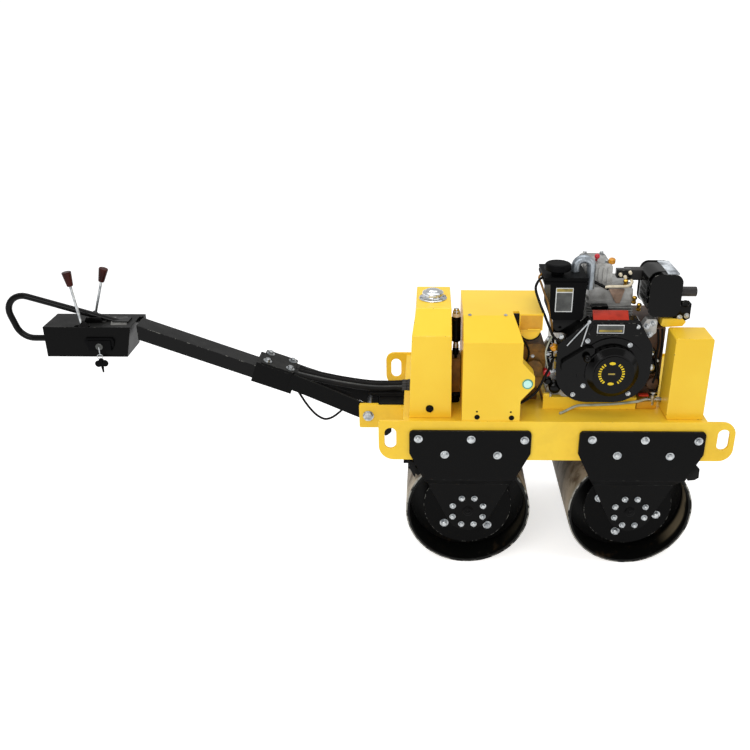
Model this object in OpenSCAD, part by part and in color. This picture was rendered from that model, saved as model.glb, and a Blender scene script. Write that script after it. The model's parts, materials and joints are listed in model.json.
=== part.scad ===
// Walk-behind roller with two smooth drums, drawn as it stands parked.
// x runs to the front, y to the left-hand side, z up from the ground, all in millimetres.
// The machine is drawn about the point midway between its drums; in_frame() moves it so
// that the part's own origin is the middle of its plan.

/* [Drums] */
// Outer diameter of a drum
drum_d = 425; // [400:5:440]
// Width of a drum
drum_w = 550; // [500:10:600]
// Thickness of a drum's shell
shell_t = 12; // [8:1:16]
// Distance between the two axles
wheelbase = 557; // [540:1:580]
// Depth of a drum's end plate behind its rim
end_recess = 100; // [80:5:130]
// Depth of the buffer disc behind the rim
disc_recess = 35; // [30:1:45]
// Diameter of the buffer disc
disc_d = 304; // [290:2:330]
// Pitch circle diameter of the buffer bolts
buffer_pcd = 214; // [190:2:230]
// Diameter of a rubber buffer
buffer_d = 52; // [40:2:60]

/* [Frame] */
// Gap between a drum's rim and the side plates
rim_gap = 8; // [6:1:12]
// Thickness of the side plates and of the drum carriers
plate_t = 10; // [8:1:12]
// Height of the side plates' lower edge above the ground
plate_low = 423; // [420:1:430]
// Height of a side plate
plate_h = 144; // [130:2:160]
// How far a side plate runs behind the rear axle
plate_rear = 301; // [290:1:320]
// How far a side plate runs ahead of the front axle
plate_front = 311; // [300:1:330]
// Width of a lifting slot
slot_w = 38; // [30:1:42]
// Height of a lifting slot
slot_h = 76; // [60:2:84]
// Thickness of the deck
deck_t = 10; // [6:1:14]

/* [Drum carriers] */
// Width of a carrier's upper part
carrier_w = 400; // [380:5:420]
// Height of a carrier's top edge above the axle
carrier_rise = 323; // [310:1:330]
// Radius of a carrier's round foot
carrier_foot_r = 76; // [70:1:82]
// How far a carrier's foot is stepped in towards the drum
carrier_step = 25; // [20:1:28]
// Pitch circle diameter of the hub bolts
hub_pcd = 112; // [100:2:120]
// Radius of the drum's axle stub
axle_r = 30; // [24:1:36]

/* [Hitch and handle] */
// Height of the handle's pivot
pivot_z = 484; // [476:1:490]
// Distance of the handle's pivot behind the rear axle
pivot_back = 347.5; // [340:0.5:360]
// Diameter of the pivot bolt
pivot_d = 20; // [16:1:24]
// Gap between the two hitch brackets
hitch_gap = 152; // [144:2:160]
// Thickness of a hitch bracket
hitch_t = 15; // [10:1:18]
// Slope of the handle's tube in degrees
tube_tilt = 20.3; // [18:0.1:23]
// Slope of the fork's arms in degrees
fork_tilt = 22; // [20:0.5:24]
// Distance from the pivot to the handle's joint sleeve
fork_len = 285; // [260:5:310]
// Height of a fork arm
arm_h = 58; // [50:2:64]
// Width of the handle's tube
tube_w = 80; // [60:5:90]
// Height of the handle's tube
tube_h = 50; // [40:2:60]
// Distance from the pivot to the front of the control box, level
box_back = 801; // [760:1:840]
// Length of the control box
box_len = 297; // [260:1:340]
// Width of the control box
box_w = 134; // [120:2:160]
// Height of the control box
box_h = 108; // [90:2:130]
// Diameter of the handle loop's tube
loop_d = 22; // [18:1:28]

/* [Tanks and belt cover] */
// Width of the oil tank along the machine
oil_w = 129; // [110:1:140]
// Height of the oil tank above the deck
oil_h = 360; // [320:5:380]
// Width of the belt cover's front face along the machine
cover_w = 188; // [170:2:196]
// Height of the belt cover above the deck
cover_h = 350; // [320:5:370]
// Width of the water tank along the machine
water_w = 122; // [100:2:130]
// Height of the water tank above the deck
water_h = 286; // [260:2:300]
// Depth of the water tank across the machine
water_deep = 106; // [90:2:120]
// How far the belt cover's slope runs back
cover_slope_back = 60; // [50:2:70]
// How far the belt cover's slope runs down
cover_slope_down = 70; // [60:2:80]
// How far the belt cover's nose stands out towards the engine
cover_nose = 42; // [36:1:46]

/* [Engine] */
// Distance of the crankshaft ahead of the machine's middle
crank_x = 176; // [170:1:182]
// Height of the crankshaft above the deck
crank_up = 163; // [155:1:170]
// Radius of the fan shroud's round part
fan_r = 120; // [116:1:124]
// Radius of the recoil starter's cover
recoil_r = 88; // [80:1:92]
// Number of air slots round the recoil starter's cover
recoil_slots = 24; // [12:1:30]
// Number of cooling fins on the cylinder
fin_count = 8; // [5:1:10]
// Distance from one cooling fin to the next
fin_pitch = 9; // [7:0.5:10]
// Width of the muffler along the machine
muffler_w = 98; // [90:2:110]
// Depth of the muffler across the machine
muffler_deep = 164; // [150:2:180]
// Height of the muffler
muffler_h = 136; // [124:2:144]
// Radius of the tailpipe
tailpipe_r = 16; // [12:1:20]

/* [Hidden] */
$fn = 48;

YELLOW = "#e8cf1e";
BLACK = "#26282a";
STEEL = "#8d8577";
SILVER = "#b9bcbf";
RUBBER = "#1c1c1c";

// The middle of the machine in the part's frame: the plan runs from the handle's loop to
// the side plates' front ends.
rear_axle = -wheelbase / 2;
front_axle = wheelbase / 2;
axle_z = drum_d / 2;
plate_back_x = rear_axle - plate_rear;
plate_front_x = front_axle + plate_front;
pivot_x = rear_axle - pivot_back;
box_front_x = pivot_x - box_back;
box_rear_x = box_front_x - box_len;
box_top = pivot_z + 316;
box_low = box_top - box_h;
// The handle loop's corners as [x, z, bend radius] from the box's top rear edge
loop_route = [[0, -66, 0], [-108, -66, 60], [-163, 115, 55], [box_len - 10, -20, 0]];
loop_bend = bend_centre(level(loop_route[2]), toward(loop_route, 2, 1), toward(loop_route, 2, 3), loop_route[2][2]);
loop_back_x = box_rear_x + loop_bend[0] - loop_route[2][2] - loop_d / 2;
mid_x = -(loop_back_x + plate_front_x) / 2;

// Frame levels and faces
plate_in = drum_w / 2 + rim_gap;
plate_out = plate_in + plate_t;
plate_top = plate_low + plate_h;
deck_z = plate_top - 7;
deck_low = deck_z - deck_t;
end_wall_x = [rear_axle - 221.5, front_axle + 221.5];
wall_t = 8;
wall_low = plate_low + 17;
slot_z = plate_low + 80;
slot_x = [plate_back_x + 39, plate_front_x - 38];

// Drum carriers: the upper part lies on the side plates, the foot is stepped inwards
carrier_out = plate_out + plate_t;
foot_out = carrier_out - carrier_step;
carrier_top = axle_z + carrier_rise;
step_high = axle_z + 140;
step_low = axle_z + 108;
hub_r = hub_pcd / 2 + 14;
hub_in = drum_w / 2 - disc_recess + 6;
running = 0.05;

// Hitch and handle
hitch_in = hitch_gap / 2;
hitch_out = hitch_in + hitch_t;
hitch_tip_x = pivot_x - 32;
hitch_low = pivot_z - 47;
hitch_high = pivot_z + 42;
arm_t = 10;
arm_out = hitch_in - 5;
sleeve_len = 145;
sleeve_wall = 8;
sleeve_rise = 10;
plate_rise = sleeve_wall + sleeve_rise;
joint_x = pivot_x - fork_len * cos(fork_tilt);
joint_z = pivot_z + fork_len * sin(fork_tilt);
tube_start_z = joint_z - 14;
stop_r = 12;
stop_arm = 45;

// Engine
crank_z = deck_z + crank_up;
bed_h = 45;
block_top = deck_z + 270;
bed_top = deck_z + bed_h;
shroud_y = [-225, -180];
shroud_top = crank_z + 172;

// ---- Helpers -------------------------------------------------------------------------

// Moves what is drawn about the machine's middle into the part's frame.
module in_frame() { translate([mid_x, 0, 0]) children(); }

// A block between two limits on each axis.
module block(x, y, z) {
    translate([x[0], y[0], z[0]]) cube([x[1] - x[0], y[1] - y[0], z[1] - z[0]]);
}

// Extrudes an outline drawn in x and z between two values of y.
module across(y) { translate([0, y[1], 0]) rotate([90, 0, 0]) linear_extrude(y[1] - y[0]) children(); }

// Extrudes an outline drawn in y and z between two values of x.
module along(x) { translate([x[0], 0, 0]) rotate([90, 0, 90]) linear_extrude(x[1] - x[0]) children(); }

// A round bar across the machine between two values of y.
module bar_y(r, y) { translate([0, y[1], 0]) rotate([90, 0, 0]) cylinder(r = r, h = y[1] - y[0]); }

// A round bar from one point to another.
module bar(a, b, r) {
    v = b - a;
    translate(a) rotate([0, acos(v[2] / norm(v)), atan2(v[1], v[0])]) cylinder(r = r, h = norm(v));
}

// A rectangle between two corners with round corners.
module round_rect(low, high, r) {
    translate([low[0] + r, low[1]]) square([high[0] - low[0] - 2 * r, high[1] - low[1]]);
    translate([low[0], low[1] + r]) square([high[0] - low[0], high[1] - low[1] - 2 * r]);
    for (x = [low[0] + r, high[0] - r], y = [low[1] + r, high[1] - r]) translate([x, y]) circle(r);
}

// A block whose edges along y are round.
module round_block(x, y, z, r) { across(y) round_rect([x[0], z[0]], [x[1], z[1]], r); }

function unit(v) = v / norm(v);
function level(c) = [c[0], c[1]];
function bearing(v) = atan2(v[1], v[0]);
// Direction in the plane from point i of a list to point j
function toward(list, i, j) = unit(level(list[j]) - level(list[i]));
// Centre of a bend of radius r at a corner p between directions u and w
function bend_centre(p, u, w, r) = p + unit(u + w) * r / sin(acos(u * w) / 2);
// Points on that bend, n + 1 of them
function bend(p, u, w, r, n) =
    let (c = bend_centre(p, u, w, r), reach = r / tan(acos(u * w) / 2), a = p + u * reach - c,
        b = p + w * reach - c, sweep = acos(unit(a) * unit(b)) * sign(cross(a, b)))
    [for (k = [0:n]) let (t = bearing(a) + sweep * k / n) c + r * [cos(t), sin(t)]];

// The line of a bent tube along a route listed as [x, z, bend radius]
function bent_line(route, y, n) = [for (i = [0:len(route) - 1]) each
    i == 0 || i == len(route) - 1 ? [[route[i][0], y, route[i][1]]]
    : [for (q = bend(level(route[i]), toward(route, i, i - 1), toward(route, i, i + 1), route[i][2], n))
        [q[0], y, q[1]]]];

// A closed outline through corners listed as [x, z, radius], each with its own rounding
function rounded(corners, n = 8) = let (m = len(corners)) [for (i = [0:m - 1]) each
    corners[i][2] == 0 ? [level(corners[i])]
    : bend(level(corners[i]), toward(corners, i, (i + m - 1) % m), toward(corners, i, (i + 1) % m),
        corners[i][2], n)];

// A smooth line through points: steps positions on each stretch between two of them
function spline(p, steps) = [for (i = [0:len(p) - 2], k = [0:steps - 1])
    let (a = p[max(0, i - 1)], b = p[i], c = p[i + 1], d = p[min(len(p) - 1, i + 2)], t = k / steps)
    b + t * (c - a) / 2 + t * t * (2 * a - 5 * b + 4 * c - d) / 2 + t * t * t * (3 * b - a - 3 * c + d) / 2,
    p[len(p) - 1]];

// A flat-sided tube of radius r with a ring at each point of a line
module tube_along(line, r, sides = 10) {
    n = len(line);
    rings = [for (i = [0:n - 1])
        let (v = unit(line[min(n - 1, i + 1)] - line[max(0, i - 1)]),
            u = unit(cross([0, 1, 0], v)), w = cross(v, u))
        for (k = [0:sides - 1]) line[i] + r * (u * cos(360 * k / sides) + w * sin(360 * k / sides))];
    faces = concat([[for (k = [0:sides - 1]) k]],
        [for (i = [0:n - 2], k = [0:sides - 1]) let (a = i * sides, j = (k + 1) % sides)
            [a + k, a + sides + k, a + sides + j, a + j]],
        [[for (k = [sides - 1:-1:0]) (n - 1) * sides + k]]);
    polyhedron(rings, faces);
}

// Places what is drawn level, pointing back from the pivot, on a slope through a point.
module on_slope(x, z, tilt) { translate([x, 0, z]) rotate([0, tilt, 0]) children(); }

// ---- Frame ---------------------------------------------------------------------------

// Side plate's outline, its upper rear corner rounded by rear_r
module side_outline(rear_r) {
    difference() {
        polygon(rounded([[plate_back_x, plate_low, 50], [plate_front_x, plate_low, 45],
            [plate_front_x, plate_top, 45], [plate_back_x, plate_top, rear_r]]));
        for (x = slot_x) round_slot(x);
    }
}

module round_slot(x) {
    straight = slot_h - slot_w;
    translate([x - slot_w / 2, slot_z - straight / 2]) square([slot_w, straight]);
    for (z = [-1, 1]) translate([x, slot_z + z * straight / 2]) circle(d = slot_w);
}

module side_plate(side) {
    color(YELLOW) in_frame()
        across(side < 0 ? [-plate_out, -plate_in] : [plate_in, plate_out])
            side_outline(side < 0 ? 4 : 32);
}

module side_plate_right() { side_plate(-1); }
module side_plate_left() { side_plate(1); }

module deck() {
    color(YELLOW) in_frame() block(end_wall_x, [-plate_in, plate_in], [deck_low, deck_z]);
}

// End walls under the deck and a channel between the drums
module cross_members() {
    channel = 45;
    color(YELLOW) in_frame() {
        for (x = [end_wall_x[0], end_wall_x[1] - wall_t])
            block([x, x + wall_t], [-plate_in, plate_in], [wall_low, deck_low]);
        block([-channel, channel], [-plate_in, plate_in], [wall_low, wall_low + wall_t]);
        for (x = [-channel, channel - wall_t])
            block([x, x + wall_t], [-plate_in, plate_in], [wall_low, deck_low]);
    }
}

// ---- Hitch ---------------------------------------------------------------------------

module hitch_brackets() {
    root_x = end_wall_x[0];
    color(YELLOW) in_frame() difference() {
        union() {
            for (y = [[-hitch_out, -hitch_in], [hitch_in, hitch_out]])
                round_block([hitch_tip_x, root_x], y, [hitch_low, hitch_high], 6);
            block([root_x - 10, root_x], [-hitch_out - 30, hitch_out + 30], [wall_low, hitch_high]);
        }
        translate([pivot_x, 0, pivot_z]) bar_y(pivot_d / 2 + running, [-hitch_out - 1, hitch_out + 1]);
    }
}

module hitch_bolt() {
    color(SILVER) in_frame() translate([pivot_x, 0, pivot_z]) {
        bar_y(pivot_d / 2, [-hitch_out, hitch_out]);
        for (y = [-hitch_out - 12, hitch_out])
            translate([0, y + 12, 0]) rotate([90, 0, 0]) cylinder(d = pivot_d * 1.7, h = 12, $fn = 6);
    }
}

// Shelf between the brackets with the rubber block that the handle's stop bar rests under
module rest_buffer() {
    stop_x = pivot_x + stop_arm * cos(tube_tilt);
    stop_z = pivot_z - stop_arm * sin(tube_tilt);
    shelf_t = 8;
    rubber_y = [-35, 35];
    color(RUBBER) in_frame() {
        block([stop_x - 14, stop_x + 30], rubber_y, [stop_z + stop_r + 0.5, hitch_high]);
        block([stop_x - 6, end_wall_x[0]], [-hitch_out, hitch_out], [hitch_high, hitch_high + shelf_t]);
        block([pivot_x - 2, end_wall_x[0]], rubber_y, [hitch_high + shelf_t, hitch_high + shelf_t + 11]);
    }
}

// ---- Drum carriers -------------------------------------------------------------------

// Point where a line from p touches a circle of radius r about the origin, on its right
function touch(p, r) =
    let (a = atan2(p[1], p[0]) - acos(r / norm(p))) [r * cos(a), r * sin(a)];

module carrier_outline() {
    half = carrier_w / 2;
    shoulder = [half, carrier_rise - 83];
    t = touch(shoulder, carrier_foot_r);
    corner = 14;
    polygon([[t[0], t[1]], shoulder, [half, carrier_rise - corner], [-half, carrier_rise - corner],
        [-shoulder[0], shoulder[1]], [-t[0], t[1]]]);
    translate([corner - half, carrier_rise - corner]) square([carrier_w - 2 * corner, corner]);
    for (x = [corner - half, half - corner]) translate([x, carrier_rise - corner]) circle(corner);
    circle(carrier_foot_r);
}

// Section of the stepped plate in y and z, for the left-hand side
module carrier_section() {
    foot = axle_z - carrier_foot_r - 1;
    top = carrier_top + 1;
    polygon([[plate_out, top], [carrier_out, top], [carrier_out, step_high], [foot_out, step_low],
        [foot_out, foot], [foot_out - plate_t, foot], [foot_out - plate_t, step_low],
        [plate_out, step_high]]);
}

module carrier(axle_x, side) {
    color(BLACK) in_frame() mirror([0, side < 0 ? 1 : 0, 0]) intersection() {
        translate([axle_x, 0, axle_z]) across([0, carrier_out + 1]) carrier_outline();
        along([axle_x - carrier_w, axle_x + carrier_w]) carrier_section();
    }
}

module carrier_rear_right() { carrier(rear_axle, -1); }
module carrier_front_right() { carrier(front_axle, -1); }
module carrier_rear_left() { carrier(rear_axle, 1); }
module carrier_front_left() { carrier(front_axle, 1); }

// Bearing and motor housings on the carriers' feet, each bored for the drum's axle stub
module hub_housings() {
    foot_in = foot_out - plate_t;
    color(BLACK) in_frame()
        for (x = [rear_axle, front_axle], side = [0, 1])
            translate([x, 0, axle_z]) mirror([0, side, 0]) difference() {
                bar_y(hub_r, [hub_in, foot_in]);
                bar_y(axle_r + running, [hub_in - 1, foot_in - 6]);
            }
}

// Scraper blades along the outer side of each drum, on lugs under the deck's end walls
module scraper_bars() {
    gap = 6;
    color(BLACK) in_frame()
        for (side = [-1, 1]) {
            axle = side < 0 ? rear_axle : front_axle;
            wall_face = side < 0 ? end_wall_x[0] : end_wall_x[1] - wall_t;
            translate([axle, 0, axle_z]) rotate([0, side * 49, 0])
                block([-9, 9], [-drum_w / 2 + 4, drum_w / 2 - 4], [drum_d / 2 + gap, drum_d / 2 + gap + 46]);
            for (y = [-200, 200])
                block([wall_face + (side < 0 ? 0 : -8), wall_face + (side < 0 ? 8 : 0) + wall_t],
                    [y - 15, y + 15], [wall_low - 75, wall_low]);
        }
}

// ---- Drums ---------------------------------------------------------------------------

module drum(axle_x) {
    inner = drum_d / 2 - shell_t;
    half = drum_w / 2;
    color(STEEL) in_frame() translate([axle_x, 0, axle_z]) {
        difference() {
            bar_y(drum_d / 2, [-half, half]);
            for (y = [[-half - 1, end_recess - half], [half - end_recess, half + 1]]) bar_y(inner, y);
            bar_y(inner, [end_recess - half + shell_t, half - end_recess - shell_t]);
        }
        for (side = [0, 1]) mirror([0, side, 0]) bar_y(axle_r, [half - end_recess, foot_out - plate_t - 8]);
    }
}

module rear_drum() { drum(rear_axle); }
module front_drum() { drum(front_axle); }

disc_t = 8;

module buffer_discs(axle_x) {
    face = drum_w / 2 - disc_recess;
    color(BLACK) in_frame() translate([axle_x, 0, axle_z])
        for (side = [0, 1]) mirror([0, side, 0]) difference() {
            bar_y(disc_d / 2, [face - disc_t, face]);
            bar_y(axle_r, [face - disc_t - 1, face + 1]);
        }
}

module rear_buffer_discs() { buffer_discs(rear_axle); }
module front_buffer_discs() { buffer_discs(front_axle); }

// Four rubber buffers at each end, their bolts' heads on the disc
module buffers(axle_x, first) {
    face = drum_w / 2 - disc_recess;
    color(RUBBER) in_frame() translate([axle_x, 0, axle_z])
        for (side = [0, 1], i = [0:3]) mirror([0, side, 0]) rotate([0, -first - 90 * i, 0])
            translate([buffer_pcd / 2, 0, 0]) bar_y(buffer_d / 2, [drum_w / 2 - end_recess, face - disc_t]);
}

module rear_buffers() { buffers(rear_axle, 42); }
module front_buffers() { buffers(front_axle, 72); }

// ---- Tanks and belt cover ------------------------------------------------------------

oil_back = 197;
oil_x = [rear_axle - oil_back, rear_axle - oil_back + oil_w];

module oil_tank() {
    face = -255;
    inner = 28;
    top = deck_z + oil_h;
    slope = [65, 72];
    color(YELLOW) in_frame() along(oil_x)
        polygon([[face, deck_z], [inner, deck_z], [inner, top], [face + slope[0], top], [face, top - slope[1]]]);
}

module oil_cap() {
    color(SILVER) in_frame() translate([oil_x[0] + 72, -95, deck_z + oil_h]) {
        cylinder(r = 46, h = 4);
        cylinder(r = 20, h = 12);
        translate([0, 0, 12]) cylinder(r = 28, h = 20);
    }
}

cover_x = [rear_axle - 29, rear_axle - 29 + cover_w];

// Cover over the belts: a sloped shoulder cut back beside the duct, and a nose on its near face
module belt_cover() {
    face = -289;
    top = deck_z + cover_h;
    fold_z = top - cover_slope_down;
    end_x = cover_x[1];
    duct_x = [end_x - 9, end_x + 66];
    color(YELLOW) in_frame() {
        difference() {
            along(cover_x)
                polygon([[face, plate_top], [-plate_in + 6, plate_top], [-plate_in + 6, deck_z], [21, deck_z],
                    [21, top], [face + cover_slope_back, top], [face, fold_z]]);
            across([face - 1, face + 100])
                polygon([[end_x - 29, top + 1], [end_x, fold_z], [end_x + 1, fold_z], [end_x + 1, top + 1]]);
        }
        across([face, face + 60]) polygon(rounded([[end_x - 20, deck_z + 70, 0], [end_x, deck_z + 80, 6],
            [end_x + cover_nose, deck_z + 130, 10], [end_x + cover_nose, deck_z + 166, 12],
            [end_x, deck_z + 212, 6], [end_x - 20, deck_z + 222, 0]]));
        block(duct_x, [face + 72, 21], [top - 55, top]);
        across([face + 84, -100]) polygon(rounded([[duct_x[0] + 3, top - 50, 0], [duct_x[0] + 3, top - 92, 34],
            [duct_x[1] - 3, top - 92, 34], [duct_x[1] - 3, top - 50, 0]]));
    }
}

// Pump housing behind the cover's nose, on its pedestal, with its shaft's flange
module hydraulic_pump() {
    x = cover_x[1] + 51;
    half = 38;
    low = deck_z + 77;
    high = deck_z + 230;
    color("#8a6a20") in_frame() {
        across([-170, -40]) polygon(rounded([[x - half, low, 30], [x + half, low, 30],
            [x + half, high, 22], [x - half, high, 22]]));
        translate([x, 0, deck_z + 150]) bar_y(half - 10, [-186, -20]);
        block([x - 25, x + 25], [-110, -60], [deck_z, low + 10]);
    }
}

module oil_filter() {
    x = (oil_x[1] + cover_x[0]) / 2 + 1;
    color(BLACK) in_frame() translate([x, -125, deck_z]) {
        cylinder(r = 10, h = 232);
        translate([0, 0, 232]) cylinder(r = 17, h = 105);
        cylinder(r = 16, h = 30);
    }
}

water_x = [front_axle + 86, front_axle + 86 + water_w];
water_face = -259;

module water_tank() {
    color(YELLOW) in_frame()
        round_block(water_x, [water_face, water_face + water_deep], [deck_z, deck_z + water_h], 8);
}

cock_y = -175;
cock_z = deck_z + 34;

module drain_cock() {
    x = water_x[0];
    color(SILVER) in_frame() {
        bar([x - 30, cock_y, cock_z], [x, cock_y, cock_z], 8);
        bar([x - 46, cock_y, cock_z], [x - 28, cock_y, cock_z], drain_r);
        translate([x - 28, cock_y, cock_z - 18]) cylinder(r = 9, h = 36);
        translate([x - 28, cock_y, cock_z + 18]) bar_cap();
    }
}

module bar_cap() {
    cylinder(r = 5, h = 8);
    translate([0, 0, 8]) cylinder(r = 14, h = 5);
}

// Drain hose, clipped along the engine bed's side and cut off over the deck
drain_r = 4.5;
drain_route = [[318, -175, 594], [306, -179, 594], [291, -187, 593], [276, -191, 592], [225, -192, 586],
    [160, -192, 581], [120, -193, 580], [92, -195, 580], [74, -200, 578], [58, -207, 574], [42, -215, 569],
    [30, -221, 566], [20, -226, 565]];

module drain_hose() { color("#c9c6b8") in_frame() tube_along(spline(drain_route, 2), drain_r); }

// ---- Engine --------------------------------------------------------------------------

engine_x = [crank_x - 156, crank_x + 86];
bed_x = [crank_x - 208, crank_x + 105];
bed_y = [-184, 190];

module engine_bed() {
    color(YELLOW) in_frame() {
        block(bed_x, bed_y, [deck_z + bed_h - 8, deck_z + bed_h]);
        for (y = [bed_y[0], bed_y[1] - 8]) block(bed_x, [y, y + 8], [deck_z, deck_z + bed_h - 8]);
    }
}

// Crankcase with its feet on the bed, a web down to each foot and an arm towards the muffler
module engine_block() {
    foot_x = [engine_x[0] - 40, engine_x[1] + 15];
    foot_t = 12;
    arm_x = engine_x[1] + 62;
    color(SILVER) in_frame() {
        round_block(engine_x, [shroud_y[1], 150], [bed_top, block_top], 18);
        block(foot_x, [-165, 140], [bed_top, bed_top + foot_t]);
        for (y = [-165, 125])
            across([y, y + 15]) polygon([[foot_x[0], bed_top + foot_t - 1], [engine_x[0] + 1, bed_top + foot_t - 1],
                [engine_x[0] + 1, bed_top + 96], [foot_x[0], bed_top + foot_t + 12]]);
        across([-165, -135]) polygon(rounded([[engine_x[1] - 10, block_top - 70, 0], [arm_x, block_top, 8],
            [arm_x, block_top + 46, 8], [arm_x - 34, block_top + 46, 8], [engine_x[1] - 10, block_top - 20, 0]]));
        translate([crank_x, 0, crank_z]) bar_y(90, [150, 168]);
    }
}

// Fan shroud over the crankcase's near side, wider at the left for the rope and the cylinder
module fan_shroud() {
    left = -fan_r - 59;
    right = fan_r + 8;
    low = bed_top + 1 - crank_z;
    high = shroud_top - crank_z;
    color(BLACK) in_frame() translate([crank_x, 0, crank_z]) {
        across(shroud_y) polygon(rounded([[left, high - 85, 14], [left + 99, high, 16], [right - 53, high, 16],
            [right, high - 92, 60], [right, low, 115], [left, low, 108]], 12));
        across([shroud_y[0] - 2, shroud_y[0] + 1]) polygon(rounded([[left + 92, high - 52, 8],
            [left + 112, high - 10, 8], [right - 62, high - 10, 8], [right - 40, high - 52, 8]]));
    }
}

// Recoil starter: a flange, a slotted drum, a domed cover and the rope's guide with its grip
module recoil_starter() {
    flange_t = 5;
    drum_h = 17;
    dome_h = 14;
    guide_low = [-fan_r - 44, -8];
    guide_high = [-62, 82];
    color(BLACK) in_frame() translate([crank_x, shroud_y[0], crank_z]) {
        difference() {
            rotate([90, 0, 0]) {
                cylinder(r = recoil_r + 24, h = flange_t);
                cylinder(r = recoil_r, h = flange_t + drum_h);
                translate([0, 0, flange_t + drum_h]) cylinder(r1 = recoil_r - 3, r2 = recoil_r - 20, h = dome_h);
                translate([0, 0, flange_t + drum_h + dome_h - 1]) cylinder(r = recoil_r - 26, h = 4);
            }
            for (i = [0:recoil_slots - 1]) rotate([0, 360 * i / recoil_slots, 0])
                block([recoil_r - 6, recoil_r + 1], [-flange_t - drum_h + 2, -flange_t - 2], [-4, 4]);
        }
        across([-flange_t - 12, 0]) polygon(rounded([[guide_low[0], guide_low[1], 14],
            [guide_high[0], guide_low[1], 0], [guide_high[0], guide_high[1], 6],
            [guide_high[0] - 26, guide_high[1], 12], [guide_low[0], 30, 14]]));
        translate([-86, -flange_t - 12, 52]) rotate([90, 0, 0]) {
            cylinder(r = 7, h = 14);
            translate([0, 0, 14]) sphere(r = 13);
        }
    }
}

fins_top = block_top + fin_count * fin_pitch + 4;

module cylinder_fins() {
    core_x = [crank_x - 62, crank_x + 62];
    core_y = [-105, 45];
    reach = 14;
    fin_t = 3;
    color(SILVER) in_frame() {
        block(core_x, core_y, [block_top, fins_top]);
        for (i = [0:fin_count - 1])
            block([core_x[0] - reach, core_x[1] + reach], [core_y[0] - reach, core_y[1] + reach],
                [block_top + 4 + i * fin_pitch, block_top + 4 + fin_t + i * fin_pitch]);
    }
}

head_h = 60;
rocker_h = 74;
head_top = fins_top + head_h + rocker_h;

// Cylinder head with the ribbed rocker cover on its rear half
module rocker_cover() {
    head_x = [crank_x - 70, crank_x + 72];
    rocker_x = [crank_x - 89, crank_x + 3];
    rib_t = 4;
    color(SILVER) in_frame() {
        round_block(head_x, [-112, 40], [fins_top, fins_top + head_h], 10);
        block([head_x[0] - 6, head_x[1] + 6], [-116, 44], [fins_top + 8, fins_top + 16]);
        round_block(rocker_x, [-95, 30], [fins_top + head_h - 14, head_top], 14);
        block([rocker_x[0] - 4, rocker_x[1] + 4], [-99, 34], [fins_top + head_h, fins_top + head_h + 8]);
        for (i = [1:5])
            block([rocker_x[0] + 15 * i, rocker_x[0] + 15 * i + rib_t], [-99, 34],
                [fins_top + head_h, head_top - 14]);
    }
}

filter_x = [crank_x - 211, crank_x - 96];
filter_y = [-195, -48];
filter_low = shroud_top - 12;
filter_rise = 442;
filter_top = deck_z + filter_rise;
lid_top = filter_top + 22;

// Air filter's case, a little narrower below, on a foot that stands on the crankcase
module air_filter() {
    taper = 4;
    color(BLACK) in_frame() {
        across(filter_y) polygon(rounded([[filter_x[0] + taper, filter_low, 18],
            [filter_x[1] - taper, filter_low, 10], [filter_x[1], filter_top, 0], [filter_x[0], filter_top, 0]]));
        block([filter_x[1] - 60, filter_x[1] - 12], [shroud_y[1] + 4, filter_y[1]], [block_top, filter_low + 10]);
    }
}

// Lid in three bands that stands out over the case's outer side
module air_filter_lid() {
    overhang = 17;
    for_band = [[3, 0, 8], [0, 8, 12], [3, 12, 22]];
    color(BLACK) in_frame() for (b = for_band)
        round_block([filter_x[0] - overhang - b[0], filter_x[1] + b[0]],
            [filter_y[0] - b[0], filter_y[1] + b[0]], [filter_top + b[1], filter_top + b[2]], 1.5);
}

// Rain cap of the air intake, a turned mushroom on a short neck
module intake_cap() {
    neck_r = 20;
    cap_r = 42;
    cap_low = 13;
    cap_high = 36;
    color(BLACK) in_frame() translate([filter_x[0] + 27, -150, lid_top])
        rotate_extrude() polygon(concat([[0, 0], [neck_r, 0], [neck_r, cap_low], [cap_r - 3, cap_low],
            [cap_r, cap_low + 3]], bend([cap_r, cap_high], [0, -1], [-1, 0], 10, 6), [[0, cap_high]]));
}

module intake_elbow() {
    start = [filter_x[1] - 28, lid_top];
    goal = [crank_x - 72, fins_top + head_h];
    rise = 40;
    bend_r = 25;
    route = [[start[0], start[1], 0], [start[0], start[1] + rise, bend_r],
        [goal[0], start[1] + rise, bend_r], [goal[0], goal[1], 0]];
    color("#7d7f80") in_frame() tube_along(bent_line(route, -122, 6), 14, 16);
}

muffler_x = [crank_x + 210 - muffler_w, crank_x + 210];
muffler_y = [-175, -175 + muffler_deep];
muffler_rise = 330;
muffler_z = [deck_z + muffler_rise, deck_z + muffler_rise + muffler_h];
muffler_r = 26;

// Muffler with a pressed rim at each end, on a strip from the crankcase
module muffler() {
    rim = 3;
    rim_t = 6;
    strip_t = 8;
    strip_x = muffler_x[1] - 20;
    color(BLACK) in_frame() {
        round_block(muffler_x, muffler_y, muffler_z, muffler_r);
        for (y = [muffler_y[0], muffler_y[1] - rim_t])
            round_block([muffler_x[0] - rim, muffler_x[1] + rim], [y, y + rim_t],
                [muffler_z[0] - rim, muffler_z[1] + rim], muffler_r + rim);
        block([strip_x - 12, strip_x], [-120, -112], [block_top - 28, muffler_z[0] + 4]);
        block([engine_x[1], strip_x], [-120, -80], [block_top - 28, block_top - 28 + strip_t]);
    }
}

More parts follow.
